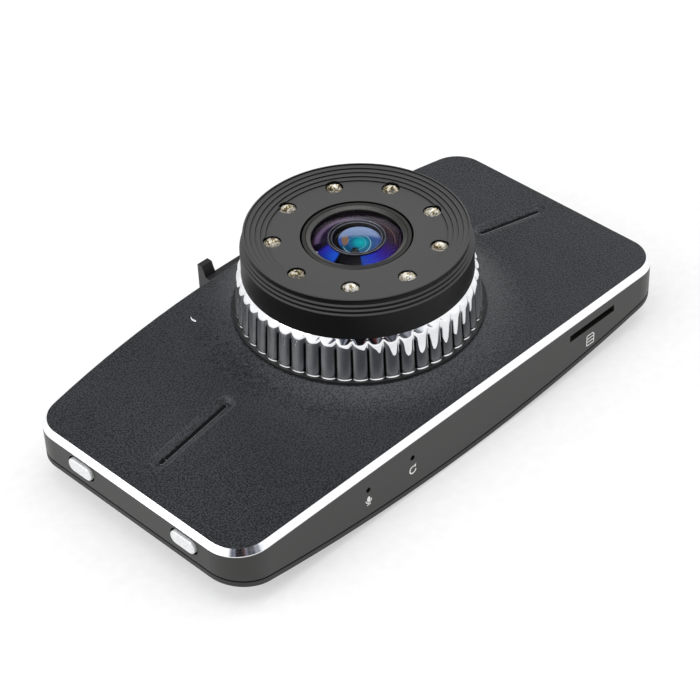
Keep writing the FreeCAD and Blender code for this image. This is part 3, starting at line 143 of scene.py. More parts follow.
def times(tree, first, second):
    """The product of a socket and another socket, or of a socket and a plain number."""
    if isinstance(second, float):
        return add(tree, "Math", {1: second}, {0: first}, operation="MULTIPLY").outputs[0]
    return add(tree, "Math", {}, {0: first, 1: second}, operation="MULTIPLY").outputs[0]


def blend(tree, below, over, mask):
    """A colour laid over what is below it, as strongly as the mask says."""
    mixed = add(tree, "Mix", {"B": linear(over)}, {"Factor": mask, "A": below}, data_type="RGBA")
    return mixed.outputs[2]


def noise(tree, scale, detail, place, **values):
    """Smooth noise; scale is in waves to the metre."""
    values.update(Scale=scale, Detail=detail)
    return add(tree, "TexNoise", values, {"Vector": place}).outputs["Fac"]


def node_of(tree, kind):
    """The first node of a kind, to build on what a helper made."""
    return [n for n in tree.nodes if n.type == kind][0]


def feed(tree, shader, **sources):
    """Links each source to the shader's socket of that name."""
    for socket, source in sources.items():
        tree.links.new(source, shader.inputs[socket.replace("_", " ")])


def new_material(name, **values):
    """A material with one Principled shader; values are set on the shader's own sockets."""
    material = bpy.data.materials.new(name)
    material.use_nodes = True
    tree = material.node_tree
    shader = tree.nodes["Principled BSDF"]
    for socket, value in values.items():
        shader.inputs[socket.replace("_", " ")].default_value = value
    return material, tree, shader


# %% [markdown]
# ## A family of grained finishes
# Moulded plastic, blasted aluminium and paint all share one structure: tiny grains, each a little
# lighter or darker, a little glossier or duller, and a little higher or lower than the next.  So one
# helper makes them from a grain width in millimetres, and slow unevenness on top keeps a large face
# from looking like a flat fill.  Image textures could do this too, but a pattern worked out from the
# object's own coordinates needs no unwrapping and never shows a seam.

# %% Build a grained finish
SLOW_WAVES = 60.0             # slow unevenness, in waves to the metre


def grained(name, dark, light, grain_mm, rough, relief_mm=0.01, uneven=0.25, spread=0.2, bite=0.5,
            **values):
    """spread is how far from the middle a grain reaches full dark or light; bite is the relief's strength."""
    material, tree, shader = new_material(name, **values)
    place = add(tree, "TexCoord").outputs["Object"]
    grain = noise(tree, 1 / (grain_mm * MM), 2.0, place)
    slow = noise(tree, SLOW_WAVES, 3.0, place)
    mixed = add(tree, "Math", {1: uneven, 2: -uneven / 2}, {0: slow}, operation="MULTIPLY_ADD").outputs[0]
    level = add(tree, "Math", {}, {0: grain, 1: mixed}, operation="ADD").outputs[0]
    colour = add(tree, "ValToRGB", {}, {"Fac": level}, [(0.5 - spread, dark), (0.5 + spread, light)])
    gloss = add(tree, "MapRange", {"To Min": rough[0], "To Max": rough[1]}, {"Value": level})
    bump = add(tree, "Bump", {"Distance": relief_mm * MM, "Strength": bite}, {"Height": grain})
    feed(tree, shader, Base_Color=colour.outputs["Color"], Roughness=gloss.outputs["Result"],
         Normal=bump.outputs["Normal"])
    return material


print("slow unevenness repeats about every", round(1000 / SLOW_WAVES), "mm")


# %% [markdown]
# ## The floor and the light
# The camera lies on a translucent acrylic table, lit a little from below so that shadows stay pale and
# close, in a bright tent: light comes from nearly everywhere, which is why the cut bevel is plain white.
# Only the place where the photographer stands is dark, with a few streaks of stands and sleeves, and a
# screen keeps the light off the black front.  Lamps alone would leave hard gaps between them in every
# mirror, so the world's light itself is shaped by direction and two soft lamps add to it.

# %% Lay the floor
FLOOR_HALF = 3.0
FLOOR_GAP = 0.01 * MM


def lay_floor():
    shape = bmesh.new()
    bmesh.ops.create_grid(shape, x_segments=2, y_segments=2, size=FLOOR_HALF)
    mesh = bpy.data.meshes.new("floor")
    shape.to_mesh(mesh)
    shape.free()
    floor = bpy.data.objects.new("floor", mesh)
    bpy.context.scene.collection.objects.link(floor)
    acrylic = grained("lit_white_acrylic", "#bababa", "#c0c0c0", 2.0, (0.85, 0.95), uneven=0.1,
                      Emission_Color=(1, 1, 1, 1), Emission_Strength=0.45)
    mesh.materials.append(acrylic)
    mesh.transform(Matrix.Translation((0, 0, cad_box[0].z - FLOOR_GAP)))
    return floor


lay_floor()
print("the floor lies at", round(cad_box[0].z / MM, 3), "mm")


# %% Shape the world's light
TENT = 1.22
# The shade: its direction, the cosines where it is full and where it ends, and what light is left.
SHADE_DIRECTION = Vector((0.3, 0.62, 0.73)).normalized()
SHADE_FULL, SHADE_END, SHADE_LEFT = 0.97, 0.78, 0.12
# Streaks round the photographer, by degrees turned from them: what is left of the tent's light.
STREAKS = [(-28, "#ffffff"), (-23, "#6a6f7a"), (-17, "#30333c"), (-13, "#8f94a2"), (-9, "#131318"),
           (10, "#141113"), (16, "#55312e"), (20, "#7e838c"), (26, "#26262b"), (33, "#5f6268"),
           (39, "#2e3036"), (47, "#9a9ca4"), (54, "#6f7278"), (60, "#d8dce2"), (66, "#ffffff")]
# Heights on the sky's unit ball where the streaks start, are full, start to fade and end.
STREAK_HEIGHTS = (0.3, 0.42, 0.8, 0.9)


def light_world():
    world = bpy.data.worlds.new("light_tent")
    bpy.context.scene.world = world
    world.use_nodes = True
    tree = world.node_tree
    tree.nodes.clear()
    place = add(tree, "TexCoord").outputs["Generated"]
    towards = add(tree, "VectorMath", {1: tuple(SHADE_DIRECTION)}, {0: place},
                  operation="DOT_PRODUCT").outputs["Value"]
    limits = {"From Min": SHADE_END, "From Max": SHADE_FULL, "To Min": 1.0, "To Max": SHADE_LEFT}
    shade = add(tree, "MapRange", limits, {"Value": towards}, interpolation_type="SMOOTHSTEP")
    level = times(tree, shade.outputs["Result"], TENT)
    facing = add(tree, "VectorRotate", {"Angle": -math.atan2(back.y, back.x)}, {"Vector": place},
                 rotation_type="Z_AXIS").outputs[0]
    round_turn = add(tree, "TexGradient", {}, {"Vector": facing}, gradient_type="RADIAL").outputs["Fac"]
    stops = [(0.5 + degrees / 360, colour) for degrees, colour in STREAKS]
    streaks = add(tree, "ValToRGB", {}, {"Fac": round_turn}, stops).outputs["Color"]
    height = add(tree, "SeparateXYZ", {}, {0: place}).outputs["Z"]
    foot, low, high, head = STREAK_HEIGHTS
    rise = add(tree, "MapRange", {"From Min": foot, "From Max": low}, {"Value": height}).outputs[0]
    fall = add(tree, "MapRange", {"From Min": high, "From Max": head, "To Min": 1.0, "To Max": 0.0},
               {"Value": height}).outputs[0]
    belt = times(tree, rise, fall)
    tint = add(tree, "Mix", {"A": (1, 1, 1, 1)}, {"Factor": belt, "B": streaks}, data_type="RGBA").outputs[2]
    glow = add(tree, "Background", {}, {"Color": tint, "Strength": level})
    return add(tree, "OutputWorld", {}, {"Surface": glow.outputs[0]})


def soft_lamp(name, place, aim, size, power):
    """A rectangular lamp, in metres and watts, that faces aim."""
    lamp = bpy.data.lights.new(name, "AREA")
    lamp.shape = "RECTANGLE"
    lamp.size, lamp.size_y = size
    lamp.energy = power
    stand = bpy.data.objects.new(name, lamp)
    place, aim = Vector(place), Vector(aim)
    facing = (place - aim).to_track_quat("Z", "Y").to_matrix().to_4x4()
    stand.matrix_world = Matrix.Translation(place) @ facing
    bpy.context.scene.collection.objects.link(stand)
    return stand


light_world()
soft_lamp("left_lamp", (-0.75, 0.25, 0.45), (0, 0, 0), (0.6, 0.4), 2.0)
soft_lamp("top_lamp", (-0.1, -0.1, 1.1), (0, 0, 0), (0.9, 0.9), 3.0)

# %% [markdown]
# ## Front panel: blasted and anodised aluminium
# The black front is a thin aluminium sheet that was blasted with fine beads and then dyed.  The beads
# leave pits a tenth of a millimetre wide that each catch the light on their own, so the sheet sparkles
# faintly.  A smooth black would look like plastic, so the pits are in the relief as well as the colour.

# %% Black blasted sheet
# The pits are drawn a third of a millimetre wide, because finer ones would blur to one grey.
blasted_black = grained("blasted_anodised_aluminium", "#000101", "#33363c", 0.29, (0.32, 0.5), 0.08,
                        uneven=0.1, spread=0.06, bite=1.0, Metallic=0.1)
print(blasted_black.name)


# %% [markdown]
# ## Bevel: diamond-cut aluminium
# After dyeing, a diamond tool runs round the edge and cuts the black away, and leaves a bright facet
# with hair-fine tool marks along its length.  The marks are only a few hundredths of a millimetre
# apart, too fine to show, so they are drawn as a faint waver in the mirror.

# %% Bright cut facet
MARKS = 900.0                 # tool marks' waver, in waves to the metre
MARKS_SQUASH = (1.0, 1.0, 12.0)


def cut_metal():
    material, tree, shader = new_material("diamond_cut_aluminium", Metallic=1.0, Roughness=0.12)
    place = add(tree, "TexCoord").outputs["Object"]
    along = add(tree, "Mapping", {"Scale": MARKS_SQUASH}, {"Vector": place}).outputs["Vector"]
    marks = noise(tree, MARKS, 3.0, along)
    colour = add(tree, "ValToRGB", {}, {"Fac": marks}, [(0.2, "#e6e8ec"), (0.8, "#fbfbfc")])
    gloss = add(tree, "MapRange", {"To Min": 0.08, "To Max": 0.2}, {"Value": marks})
    bump = add(tree, "Bump", {"Distance": 0.004 * MM, "Strength": 0.3}, {"Height": marks})
    feed(tree, shader, Base_Color=colour.outputs["Color"], Roughness=gloss.outputs["Result"],
         Normal=bump.outputs["Normal"])
    return material


cut_aluminium = cut_metal()
print(cut_aluminium.name)

# %% [markdown]
# ## Plastics of the body
# The side wall is painted ABS with a satin sheen, the rear cover is moulded against a spark-eroded
# tool, which leaves a coarser orange-peel grain, and the buttons are moulded and then painted silver.
# All three come from the same helper with their own grain width and gloss.

# %% Body plastics
satin_wall = grained("satin_painted_abs", "#191816", "#201e1d", 0.12, (0.36, 0.44), 0.006, uneven=0.3)
eroded_black = grained("spark_eroded_abs", "#141414", "#202021", 0.35, (0.5, 0.62), 0.02)
silver_paint = grained("silver_painted_abs", "#c6c8ca", "#ebecec", 0.22, (0.36, 0.48), 0.012, spread=0.25,
                       Metallic=0.3)
shoe_black = grained("moulded_black_nylon", "#101011", "#1b1b1d", 0.2, (0.4, 0.5), 0.01)
key_black = grained("satin_black_keytop", "#161617", "#202022", 0.1, (0.42, 0.5), 0.005)
gloss_strip = grained("gloss_black_polycarbonate", "#050505", "#0b0b0c", 0.3, (0.05, 0.1), 0.001)
print(satin_wall.name, eroded_black.name, silver_paint.name)


# %% [markdown]
# ## Lens head: turned rings under satin paint
# The round head was turned on a lathe pattern: its face has broad steps, and its surface keeps fine
# circles about the lens axis.  A ring-shaped wave in the relief gives those circles, which draw out
# each highlight towards the axis, as on real turned parts.  Face and barrel wear the same paint, but a
# lighter grey is painted where a face looks up, as painted light from above.

# %% Satin black with fine circles
CIRCLES = 900.0               # turned circles, in waves to the metre
LIT_FACE_SLOPE = (0.6, 0.95)     # upward part of the normal where the painted light from above starts and is full


def turned_black():
    material = grained("satin_black_turned", "#070707", "#0d0d0d", 0.1, (0.4, 0.48), 0.004, uneven=0.2,
                       Specular_IOR_Level=0.18)
    tree = material.node_tree
    shader = tree.nodes["Principled BSDF"]
    grain_bump = node_of(tree, "BUMP")
    place = add(tree, "TexCoord").outputs["Object"]
    circles = add(tree, "TexWave", {"Scale": CIRCLES, "Distortion": 0.3}, {"Vector": place},
                  wave_type="RINGS", rings_direction="Z").outputs["Fac"]
    bump = add(tree, "Bump", {"Distance": 0.003 * MM, "Strength": 0.35},
               {"Height": circles, "Normal": grain_bump.outputs["Normal"]})
    flat = add(tree, "SeparateXYZ", {}, {0: add(tree, "NewGeometry").outputs["True Normal"]}).outputs["Z"]
    painted_top_light = add(tree, "MapRange", {"From Min": LIT_FACE_SLOPE[0], "From Max": LIT_FACE_SLOPE[1]},
                {"Value": flat}).outputs["Result"]
    painted = node_of(tree, "VALTORGB").outputs["Color"]
    # Painted light: a lighter grey is laid on faces that look up, as if lit from above.
    feed(tree, shader, Base_Color=blend(tree, painted, "#4c4c4c", painted_top_light), Normal=bump.outputs["Normal"])
    return material


lens_black = turned_black()
print(lens_black.name)


# %% [markdown]
# ## Chrome on the knurled ring
# The ring is plastic with a chrome layer.  Chrome has almost no colour of its own: what shows is the
# bright tent, the dark place of the photographer and the black panel, folded up by the ridges.  A low,
# slow relief makes the reflections wander a little, as they do on plated plastic.  The grooves are
# painted nearly black, as painted shade for the dark that falls deep between the lobes.

# %% Plated chrome
RING_DRAFT = 0.08             # how far the side leans in for each millimetre of height
WAVER = 420.0                 # slow relief, in waves to the metre
GROOVE_SHADE_DEPTH = (0.33, 0.52)    # millimetres in from the lobes where the painted groove shade starts and is full
GROOVE_SHADE_BELOW = (1.5, 2.1)      # the same, down from the ring's top


def plated_chrome():
    material, tree, shader = new_material("chrome_plated_abs", Metallic=1.0, Roughness=0.06)
    place = add(tree, "TexCoord").outputs["Object"]
    waver = noise(tree, WAVER, 2.0, place)
    colour = add(tree, "ValToRGB", {}, {"Fac": waver}, [(0.2, "#d6d7da"), (0.8, "#ececee")])
    gloss = add(tree, "MapRange", {"To Min": 0.015, "To Max": 0.045}, {"Value": waver})
    bump = add(tree, "Bump", {"Distance": 0.03 * MM, "Strength": 0.4}, {"Height": waver})
    low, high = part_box("knurled_ring")
    across = add(tree, "VectorMath", {1: (1.0, 1.0, 0.0)}, {0: place}, operation="MULTIPLY").outputs[0]
    radius = add(tree, "VectorMath", {}, {0: across}, operation="LENGTH").outputs["Value"]
    height = add(tree, "SeparateXYZ", {}, {0: place}).outputs["Z"]
    upright = add(tree, "Math", {1: RING_DRAFT}, {0: height, 2: radius}, operation="MULTIPLY_ADD").outputs[0]
    face = high.x + RING_DRAFT * low.z
    start, full = [face - depth * MM for depth in GROOVE_SHADE_DEPTH]
    sunk = add(tree, "MapRange", {"From Min": start, "From Max": full}, {"Value": upright},
               interpolation_type="SMOOTHSTEP").outputs[0]
    start, full = [high.z - depth * MM for depth in GROOVE_SHADE_BELOW]
    below = add(tree, "MapRange", {"From Min": start, "From Max": full}, {"Value": height}).outputs[0]
    # Painted shade: the plating in the grooves is darkened to nearly black.
    groove_shaded = blend(tree, colour.outputs["Color"], "#1a1a1b", times(tree, sunk, below))
    feed(tree, shader, Base_Color=groove_shaded, Roughness=gloss.outputs["Result"], Normal=bump.outputs["Normal"])
    return material


chrome = plated_chrome()
print(chrome.name)


# %% [markdown]
# ## Clear pieces
# The lamp domes are clear epoxy, the front glass is coated so well that it hardly mirrors, and the
# screen's window is smoked acrylic over a black print.  Real coated glass sends back about half a
# percent of the light, so its index is set low enough on the shader to give that mirror.

# %% Clear epoxy and coated glass
def clear(name, tint, ior, rough, specks_mm):
    """tint and rough are each a pair, and specks of the given width waver between them."""
    material, tree, shader = new_material(name, IOR=ior, Transmission_Weight=1.0)
    place = add(tree, "TexCoord").outputs["Object"]
    specks = noise(tree, 1 / (specks_mm * MM), 3.0, place)
    colour = add(tree, "ValToRGB", {}, {"Fac": specks}, [(0.3, tint[0]), (0.7, tint[1])])
    gloss = add(tree, "MapRange", {"To Min": rough[0], "To Max": rough[1]}, {"Value": specks})
    feed(tree, shader, Base_Color=colour.outputs["Color"], Roughness=gloss.outputs["Result"])
    return material


clear_epoxy = clear("clear_epoxy", ("#f4f2ec", "#ffffff"), 1.5, (0.0, 0.03), 0.5)
coated_glass = clear("coated_glass", ("#f6f4ff", "#ffffff"), 1.1, (0.0, 0.01), 3.0)
plain_glass = clear("ground_glass", ("#eef4f4", "#ffffff"), 1.5, (0.0, 0.01), 3.0)
filter_glass = clear("cyan_filter_glass", ("#9fd6d2", "#b4e4e0"), 1.5, (0.0, 0.01), 3.0)
clear_light_pipe = clear("clear_light_pipe", ("#d8d8d4", "#f0f0ec"), 1.49, (0.1, 0.2), 0.3)
print(clear_epoxy.name, coated_glass.name)


# %% [markdown]
# ## Metal, board and film inside
# These hardly show, but a cut-away or a see-through view would find them, so each gets its own grain:
# tinned steel, zinc-plated screws, solder mask over copper, moulded chips, foam and amber film.

# %% Inner finishes
tinned_steel = grained("tinned_steel", "#8d8d8b", "#b9b9b6", 0.3, (0.25, 0.4), 0.004, Metallic=1.0)
black_zinc = grained("black_zinc_steel", "#2c2c2e", "#48484b", 0.2, (0.3, 0.45), 0.004, Metallic=1.0)
grey_anodised = grained("grey_anodised_aluminium", "#3a3a38", "#565654", 0.12, (0.28, 0.38), 0.008,
                        Metallic=0.7)
moulded_chip = grained("moulded_epoxy_chip", "#0f0f10", "#1c1c1e", 0.08, (0.5, 0.65), 0.006)
solder_mask = grained("green_solder_mask", "#063a18", "#0d5226", 0.8, (0.25, 0.4), 0.01)
amber_film = grained("amber_flex_film", "#7a4108", "#a05c12", 0.5, (0.25, 0.35), 0.003)
white_film = grained("white_diffuser", "#d6d6d4", "#ececea", 0.3, (0.4, 0.5), 0.004)
black_foam = grained("black_foam_rubber", "#0a0a0a", "#1a1a1a", 0.15, (0.7, 0.9), 0.03)
inner_black = grained("black_abs_inside", "#0b0b0b", "#141414", 0.2, (0.45, 0.6), 0.006)
natural_nylon = grained("natural_nylon", "#a39d90", "#c0baab", 0.4, (0.4, 0.5), 0.006)
silver_foil = grained("aluminium_foil_pouch", "#a8a8aa", "#d8d8da", 1.2, (0.25, 0.4), 0.05, Metallic=0.9)
white_print = grained("white_pad_print", "#d4d4d2", "#ededeb", 0.1, (0.5, 0.6), 0.002)
print("inner finishes ready")


# %% [markdown]
# ## Screen glass
# The window over the screen is one sheet: black print round its border, and a smoked field where the
# picture shows.  The border's edge is found from the screen opening's own size, so print and opening
# stay together.

# %% Smoked window with a printed border
PRINTED_BORDER = 2.0 * MM


def screen_window():
    material = grained("smoked_acrylic_window", "#040405", "#070708", 4.0, (0.03, 0.07), 0.001)
    tree = material.node_tree
    shader = tree.nodes["Principled BSDF"]
    low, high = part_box("lcd_gasket")
    middle, half = (low + high) / 2, (high - low) / 2
    place = add(tree, "TexCoord").outputs["Object"]
    centred = add(tree, "VectorMath", {1: tuple(middle)}, {0: place}, operation="SUBTRACT").outputs[0]
    spread = add(tree, "VectorMath", {}, {0: centred}, operation="ABSOLUTE").outputs[0]
    parts = add(tree, "SeparateXYZ", {}, {0: spread}).outputs
    inside_x, inside_y = [
        add(tree, "Math", {1: reach - PRINTED_BORDER}, {0: parts[axis]}, operation="LESS_THAN").outputs[0]
        for axis, reach in (("X", half.x), ("Y", half.y))]
    printed = node_of(tree, "VALTORGB").outputs["Color"]
    feed(tree, shader, Base_Color=blend(tree, printed, "#15191d", times(tree, inside_x, inside_y)))
    return material


smoked_window = screen_window()
print(smoked_window.name)

# %% [markdown]
# ## Give each solid its finish
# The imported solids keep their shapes, and only the material in their slot changes.

# %% Assign the finishes
FINISHES = {
    "front_panel": blasted_black, "bezel_trim": cut_aluminium, "middle_frame": satin_wall,
    "rear_cover": eroded_black, "lcd_window": smoked_window, "lcd_gasket": black_foam,
    "lcd_panel": gloss_strip, "lcd_backlight": white_film, "lcd_flex": amber_film,
    "left_slot_insert": gloss_strip, "right_slot_insert": gloss_strip, "indicator_light": clear_light_pipe,
    "base_flange": inner_black, "knurled_ring": chrome, "lens_housing": lens_black,
    "lamp_board": solder_mask, "infrared_lamps": clear_epoxy, "lamp_flex": amber_film,
    "retaining_ring": grey_anodised, "front_element": coated_glass, "lens_cell": inner_black,
    "inner_elements": plain_glass, "infrared_filter": filter_glass, "lens_holder": inner_black,
    "image_sensor": moulded_chip, "sensor_board": solder_mask, "sensor_connector": white_film,
    "main_board": solder_mask, "processor": moulded_chip, "memory_chip": moulded_chip,
    "small_parts": moulded_chip, "card_socket": tinned_steel, "card_slider": inner_black,
    "usb_socket": tinned_steel, "av_jack": inner_black, "microphone": tinned_steel,
    "microphone_boot": black_foam, "reset_switch": inner_black, "reset_plunger": natural_nylon,
    "side_switches": inner_black, "key_switches": inner_black, "mount_shoe": shoe_black,
    "mount_screws": black_zinc, "housing_screws": black_zinc, "board_screws": black_zinc,
    "speaker": inner_black, "speaker_gasket": black_foam, "battery": silver_foil,
    "power_button": silver_paint, "mode_button": silver_paint,
}
KEYS = ("menu", "up", "record", "down")
FINISHES.update({name + "_key": key_black for name in KEYS})
FINISHES.update({name + "_plunger": natural_nylon for name in ("power", "mode")})
FINISHES.update({name + "_key_plunger": natural_nylon for name in KEYS})
for node_name, finish in FINISHES.items():
    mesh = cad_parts[node_name].data
    for i in range(len(mesh.materials)):
        mesh.materials[i] = finish
print("solids without a finish:", sorted(set(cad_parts) - set(FINISHES)))


# %% [markdown]
# ## Making turned pieces
# Lens parts are round, so a line of points is spun about the lens axis.  Sharp edges are marked where
# two faces meet at more than a given angle, and the rest shades smoothly.

# %% Helpers for new pieces
TOUCHING = 0.0005             # points closer than this are one, in millimetres


def turned(profile, steps=160, closed=False):
    """Spins a line of (radius, height) points, in millimetres, about an upright axis."""
    shape = bmesh.new()
    line = [shape.verts.new((r * MM, 0, z * MM)) for r, z in profile]
    pairs = list(zip(line, line[1:])) + ([(line[-1], line[0])] if closed else [])
    edges = [shape.edges.new(pair) for pair in pairs]
    bmesh.ops.spin(shape, geom=line + edges, cent=(0, 0, 0), axis=(0, 0, 1), angle=2 * math.pi,
                   steps=steps, use_merge=True)
    bmesh.ops.remove_doubles(shape, verts=shape.verts, dist=TOUCHING * MM)
    bmesh.ops.recalc_face_normals(shape, faces=shape.faces)
    return shape


def gather(parts):
    """One bmesh from several."""
    whole = bmesh.new()
    for part in parts:
        held = bpy.data.meshes.new("held")
        part.to_mesh(held)
        part.free()
        whole.from_mesh(held)
        bpy.data.meshes.remove(held)
    return whole


def finish_piece(shape, name, material, body="camera", sharp=30, replaces=()):
    """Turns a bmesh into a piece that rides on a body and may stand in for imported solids."""
    mesh = bpy.data.meshes.new(name)
    shape.to_mesh(mesh)
    shape.free()
    piece = bpy.data.objects.new(name, mesh)
    bpy.context.scene.collection.objects.link(piece)
    mesh.materials.append(material)
    mesh.polygons.foreach_set("use_smooth", [True] * len(mesh.polygons))
    mesh.set_sharp_from_angle(angle=math.radians(sharp))
    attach(piece, body)
    if replaces:
        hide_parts(*replaces)
    print(name, "has", len(mesh.polygons), "faces")
    return piece


print("points nearer than", TOUCHING, "mm are joined")


# %% [markdown]
# ## Front glass
# The wide-angle front glass is a shallow dome.  The solid lens would bend the view of everything behind
# it, and its coating would still show as clear glass.  A thin shell with the dome's own curve lets the
# painted coatings behind it show where the eye sees them, and keeps the dome's reflections.

# %% Spin the front glass
glass_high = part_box("front_element")[1] / MM
DOME_CURVE = 20.0
SHELL = 0.3
ARC_POINTS = 14
rim_radius = glass_high.x
dome_centre = glass_high.z - DOME_CURVE


def dome_line(curve, radius):
    """Points from the dome's middle out to a radius."""
    steps = [radius * i / ARC_POINTS for i in range(ARC_POINTS + 1)]
    return [(r, dome_centre + math.sqrt(curve ** 2 - r ** 2)) for r in steps]


shell_line = dome_line(DOME_CURVE, rim_radius) + dome_line(DOME_CURVE - SHELL, rim_radius)[::-1]
finish_piece(turned(shell_line), "front_glass", coated_glass, replaces=["front_element"])


# %% [markdown]
# ## Coatings inside the lens
# Each inner surface has a coating a few hundred nanometres thick that sends back one colour: plum and
# blue from the wide bowl, teal from the middle element.  Thin-film shading could work that out, but the
# export keeps plain colour best, so the colours are laid out by angle and distance on the two surfaces.
# The hues are the coatings' own, but where they show, with the light rings, crescent and glint, is
# painted reflection as the studio camera sees it.  The pattern is turned so that its first axis points
# to the right as the studio camera sees it.  Each mark is one row: its colour, and the limits of angle or
# distance between which it shows.

# %% Angle and distance across a lens surface
def lens_plane(tree, centre=(0.0, 0.0), stretch=(1.0, 1.0)):
    """Turned coordinates in millimetres about a centre, with their distance and angle as 0 to 1."""
    place = add(tree, "TexCoord").outputs["Object"]
    level = add(tree, "VectorRotate", {"Angle": -AZIMUTH}, {"Vector": place},
                rotation_type="Z_AXIS").outputs[0]
    flat = add(tree, "VectorMath", {1: (1 / MM, 1 / MM, 0.0)}, {0: level}, operation="MULTIPLY").outputs[0]
    moved = add(tree, "VectorMath", {1: (*centre, 0.0)}, {0: flat}, operation="SUBTRACT").outputs[0]
    fitted = add(tree, "VectorMath", {1: (1 / stretch[0], 1 / stretch[1], 0.0)}, {0: moved},
                 operation="MULTIPLY").outputs[0]
    distance = add(tree, "VectorMath", {}, {0: fitted}, operation="LENGTH").outputs["Value"]
    angle = add(tree, "TexGradient", {}, {"Vector": fitted}, gradient_type="RADIAL").outputs["Fac"]
    return fitted, distance, angle


def band(tree, value, low, high, soft):
    """1 where value lies from low to high, with soft edges."""
    rise = add(tree, "MapRange", {"From Min": low - soft, "From Max": low}, {"Value": value}).outputs[0]
    fall = add(tree, "MapRange", {"From Min": high, "From Max": high + soft, "To Min": 1.0, "To Max": 0.0},
               {"Value": value}).outputs[0]
    return times(tree, rise, fall)


def mark(tree, below, colour, *limits, strength=1.0):
    """A colour laid where every limit, (value, low, high, soft edge), holds."""
    masks = [band(tree, *limit) for limit in limits]
    mask = masks[0] if len(masks) == 1 else times(tree, *masks)
    return blend(tree, below, colour, mask if strength == 1.0 else times(tree, mask, strength))


print("the lens pattern is turned by", round(math.degrees(-AZIMUTH), 1), "degrees")


# %% Colours of the wide bowl, by angle
# The hues are the coating's own; their layout round the bowl is painted reflection.
BOWL_COLOURS = [
    (0.0, "#1a1228"), (0.035, "#0d0b1c"), (0.055, "#2a2596"), (0.09, "#1c3aa8"), (0.14, "#1f55c4"),
    (0.15, "#050509"), (0.262, "#050508"), (0.272, "#1640a4"), (0.32, "#2434b4"), (0.38, "#301a86"),
    (0.44, "#2f0f5a"), (0.48, "#1f0a26"), (0.56, "#2c101c"), (0.64, "#24101c"), (0.7, "#120813"),
    (0.78, "#1a0b20"), (0.9, "#1c0e26"), (1.0, "#1a1228")]
PAINTED_GLINT_PLACE, PAINTED_GLINT_STRETCH = (-7.3, -2.2), (0.75, 0.42)


def bowl_coating():
    """Radial's 0 to 1 starts at the negative first axis and turns anticlockwise."""
    material, tree, shader = new_material("multi_coated_bowl", Roughness=0.15, Specular_IOR_Level=0.03)
    _, distance, angle = lens_plane(tree)
    _, from_painted_glint, _ = lens_plane(tree, PAINTED_GLINT_PLACE, PAINTED_GLINT_STRETCH)
    colour = add(tree, "ValToRGB", {}, {"Fac": angle}, BOWL_COLOURS).outputs["Color"]
    rim = [(distance, 7.3, 9.0, 0.6)]
    # Painted highlights: the pale crescent, and below it the white glint of a window.
    painted_crescent_highlight = [(angle, 0.8, 0.96, 0.1), (distance, 6.6, 6.9, 0.6)]
    brown_arc = [(angle, 0.5, 0.66, 0.03), (distance, 6.45, 6.5, 0.12)]
    glint = [(from_painted_glint, -1.0, 0.7, 0.3)]
    for hue, limits in (
            ("#1e0a22", rim), ("#75607f", painted_crescent_highlight), ("#6a4a50", brown_arc), ("#f4f4fa", glint)):
        colour = mark(tree, colour, hue, *limits)
    feed(tree, shader, Base_Color=colour)
    return material


coated_bowl = bowl_coating()
print(coated_bowl.name, "has", len(BOWL_COLOURS), "colours round it")


# %% Colours of the middle element
TEAL_TO_BLUE = [
    (0.0, "#10a8a4"), (0.18, "#0f8f98"), (0.3, "#12647e"), (0.44, "#1c4a80"), (0.62, "#24488c"),
    (0.8, "#35559c"), (0.95, "#5a72b0"), (1.0, "#6a80b8")]
TEAL_REACH = 5.0              # millimetres from the teal's middle to the last colour
SWIRL = 900.0                 # cloudy veil, in waves to the metre


def element_coating():
    material, tree, shader = new_material("teal_coated_element", Roughness=0.06, Specular_IOR_Level=0.2)
    place, from_teal, _ = lens_plane(tree, (0.6, -1.5))
    _, from_low, around = lens_plane(tree, (-0.05, -1.6))
    _, from_patch, _ = lens_plane(tree, (-2.0, -0.6), (0.7, 1.5))
    _, from_dome, _ = lens_plane(tree, (0.55, -0.4))
    upward = add(tree, "SeparateXYZ", {}, {0: place}).outputs["Y"]
    swirl = add(tree, "TexNoise", {"Scale": SWIRL, "Detail": 2.0}).outputs["Fac"]
    share = times(tree, from_teal, 1 / TEAL_REACH)
    colour = add(tree, "ValToRGB", {}, {"Fac": share}, TEAL_TO_BLUE).outputs["Color"]
    # Painted reflection: the light rings and the pale veil at the top stand for reflections, and the wedges
    # and dark rim lie where the reflection is dark.
    deep_wedge = [(around, 0.02, 0.15, 0.02), (from_low, 1.7, 6.0, 0.3)]
    black_wedge = [(around, 0.17, 0.27, 0.015), (from_low, 1.3, 6.0, 0.3)]
    brown_patch = [(from_patch, -1.0, 0.7, 0.35)]
    ring = [(from_low, 2.34, 2.38, 0.06), (around, 0.08, 0.62, 0.06)]
    small_ring = [(from_low, 1.5, 1.54, 0.06), (around, 0.3, 0.9, 0.1)]
    veil = [(swirl, 0.46, 0.9, 0.1), (upward, 2.2, 4.4, 0.9)]
    dark_rim = [(from_dome, 3.75, 9.0, 0.12)]
    for hue, strength, limits in (
            ("#0a4560", 1.0, deep_wedge), ("#08080b", 1.0, black_wedge), ("#7d6247", 1.0, brown_patch),
            ("#8fc4c6", 1.0, ring), ("#5fb4b8", 0.7, small_ring), ("#9db4c6", 0.7, veil),
            ("#040406", 1.0, dark_rim)):
        colour = mark(tree, colour, hue, *limits, strength=strength)
    feed(tree, shader, Base_Color=colour)
    return material


coated_element = element_coating()
print(coated_element.name, "goes from teal to blue in", TEAL_REACH, "mm")

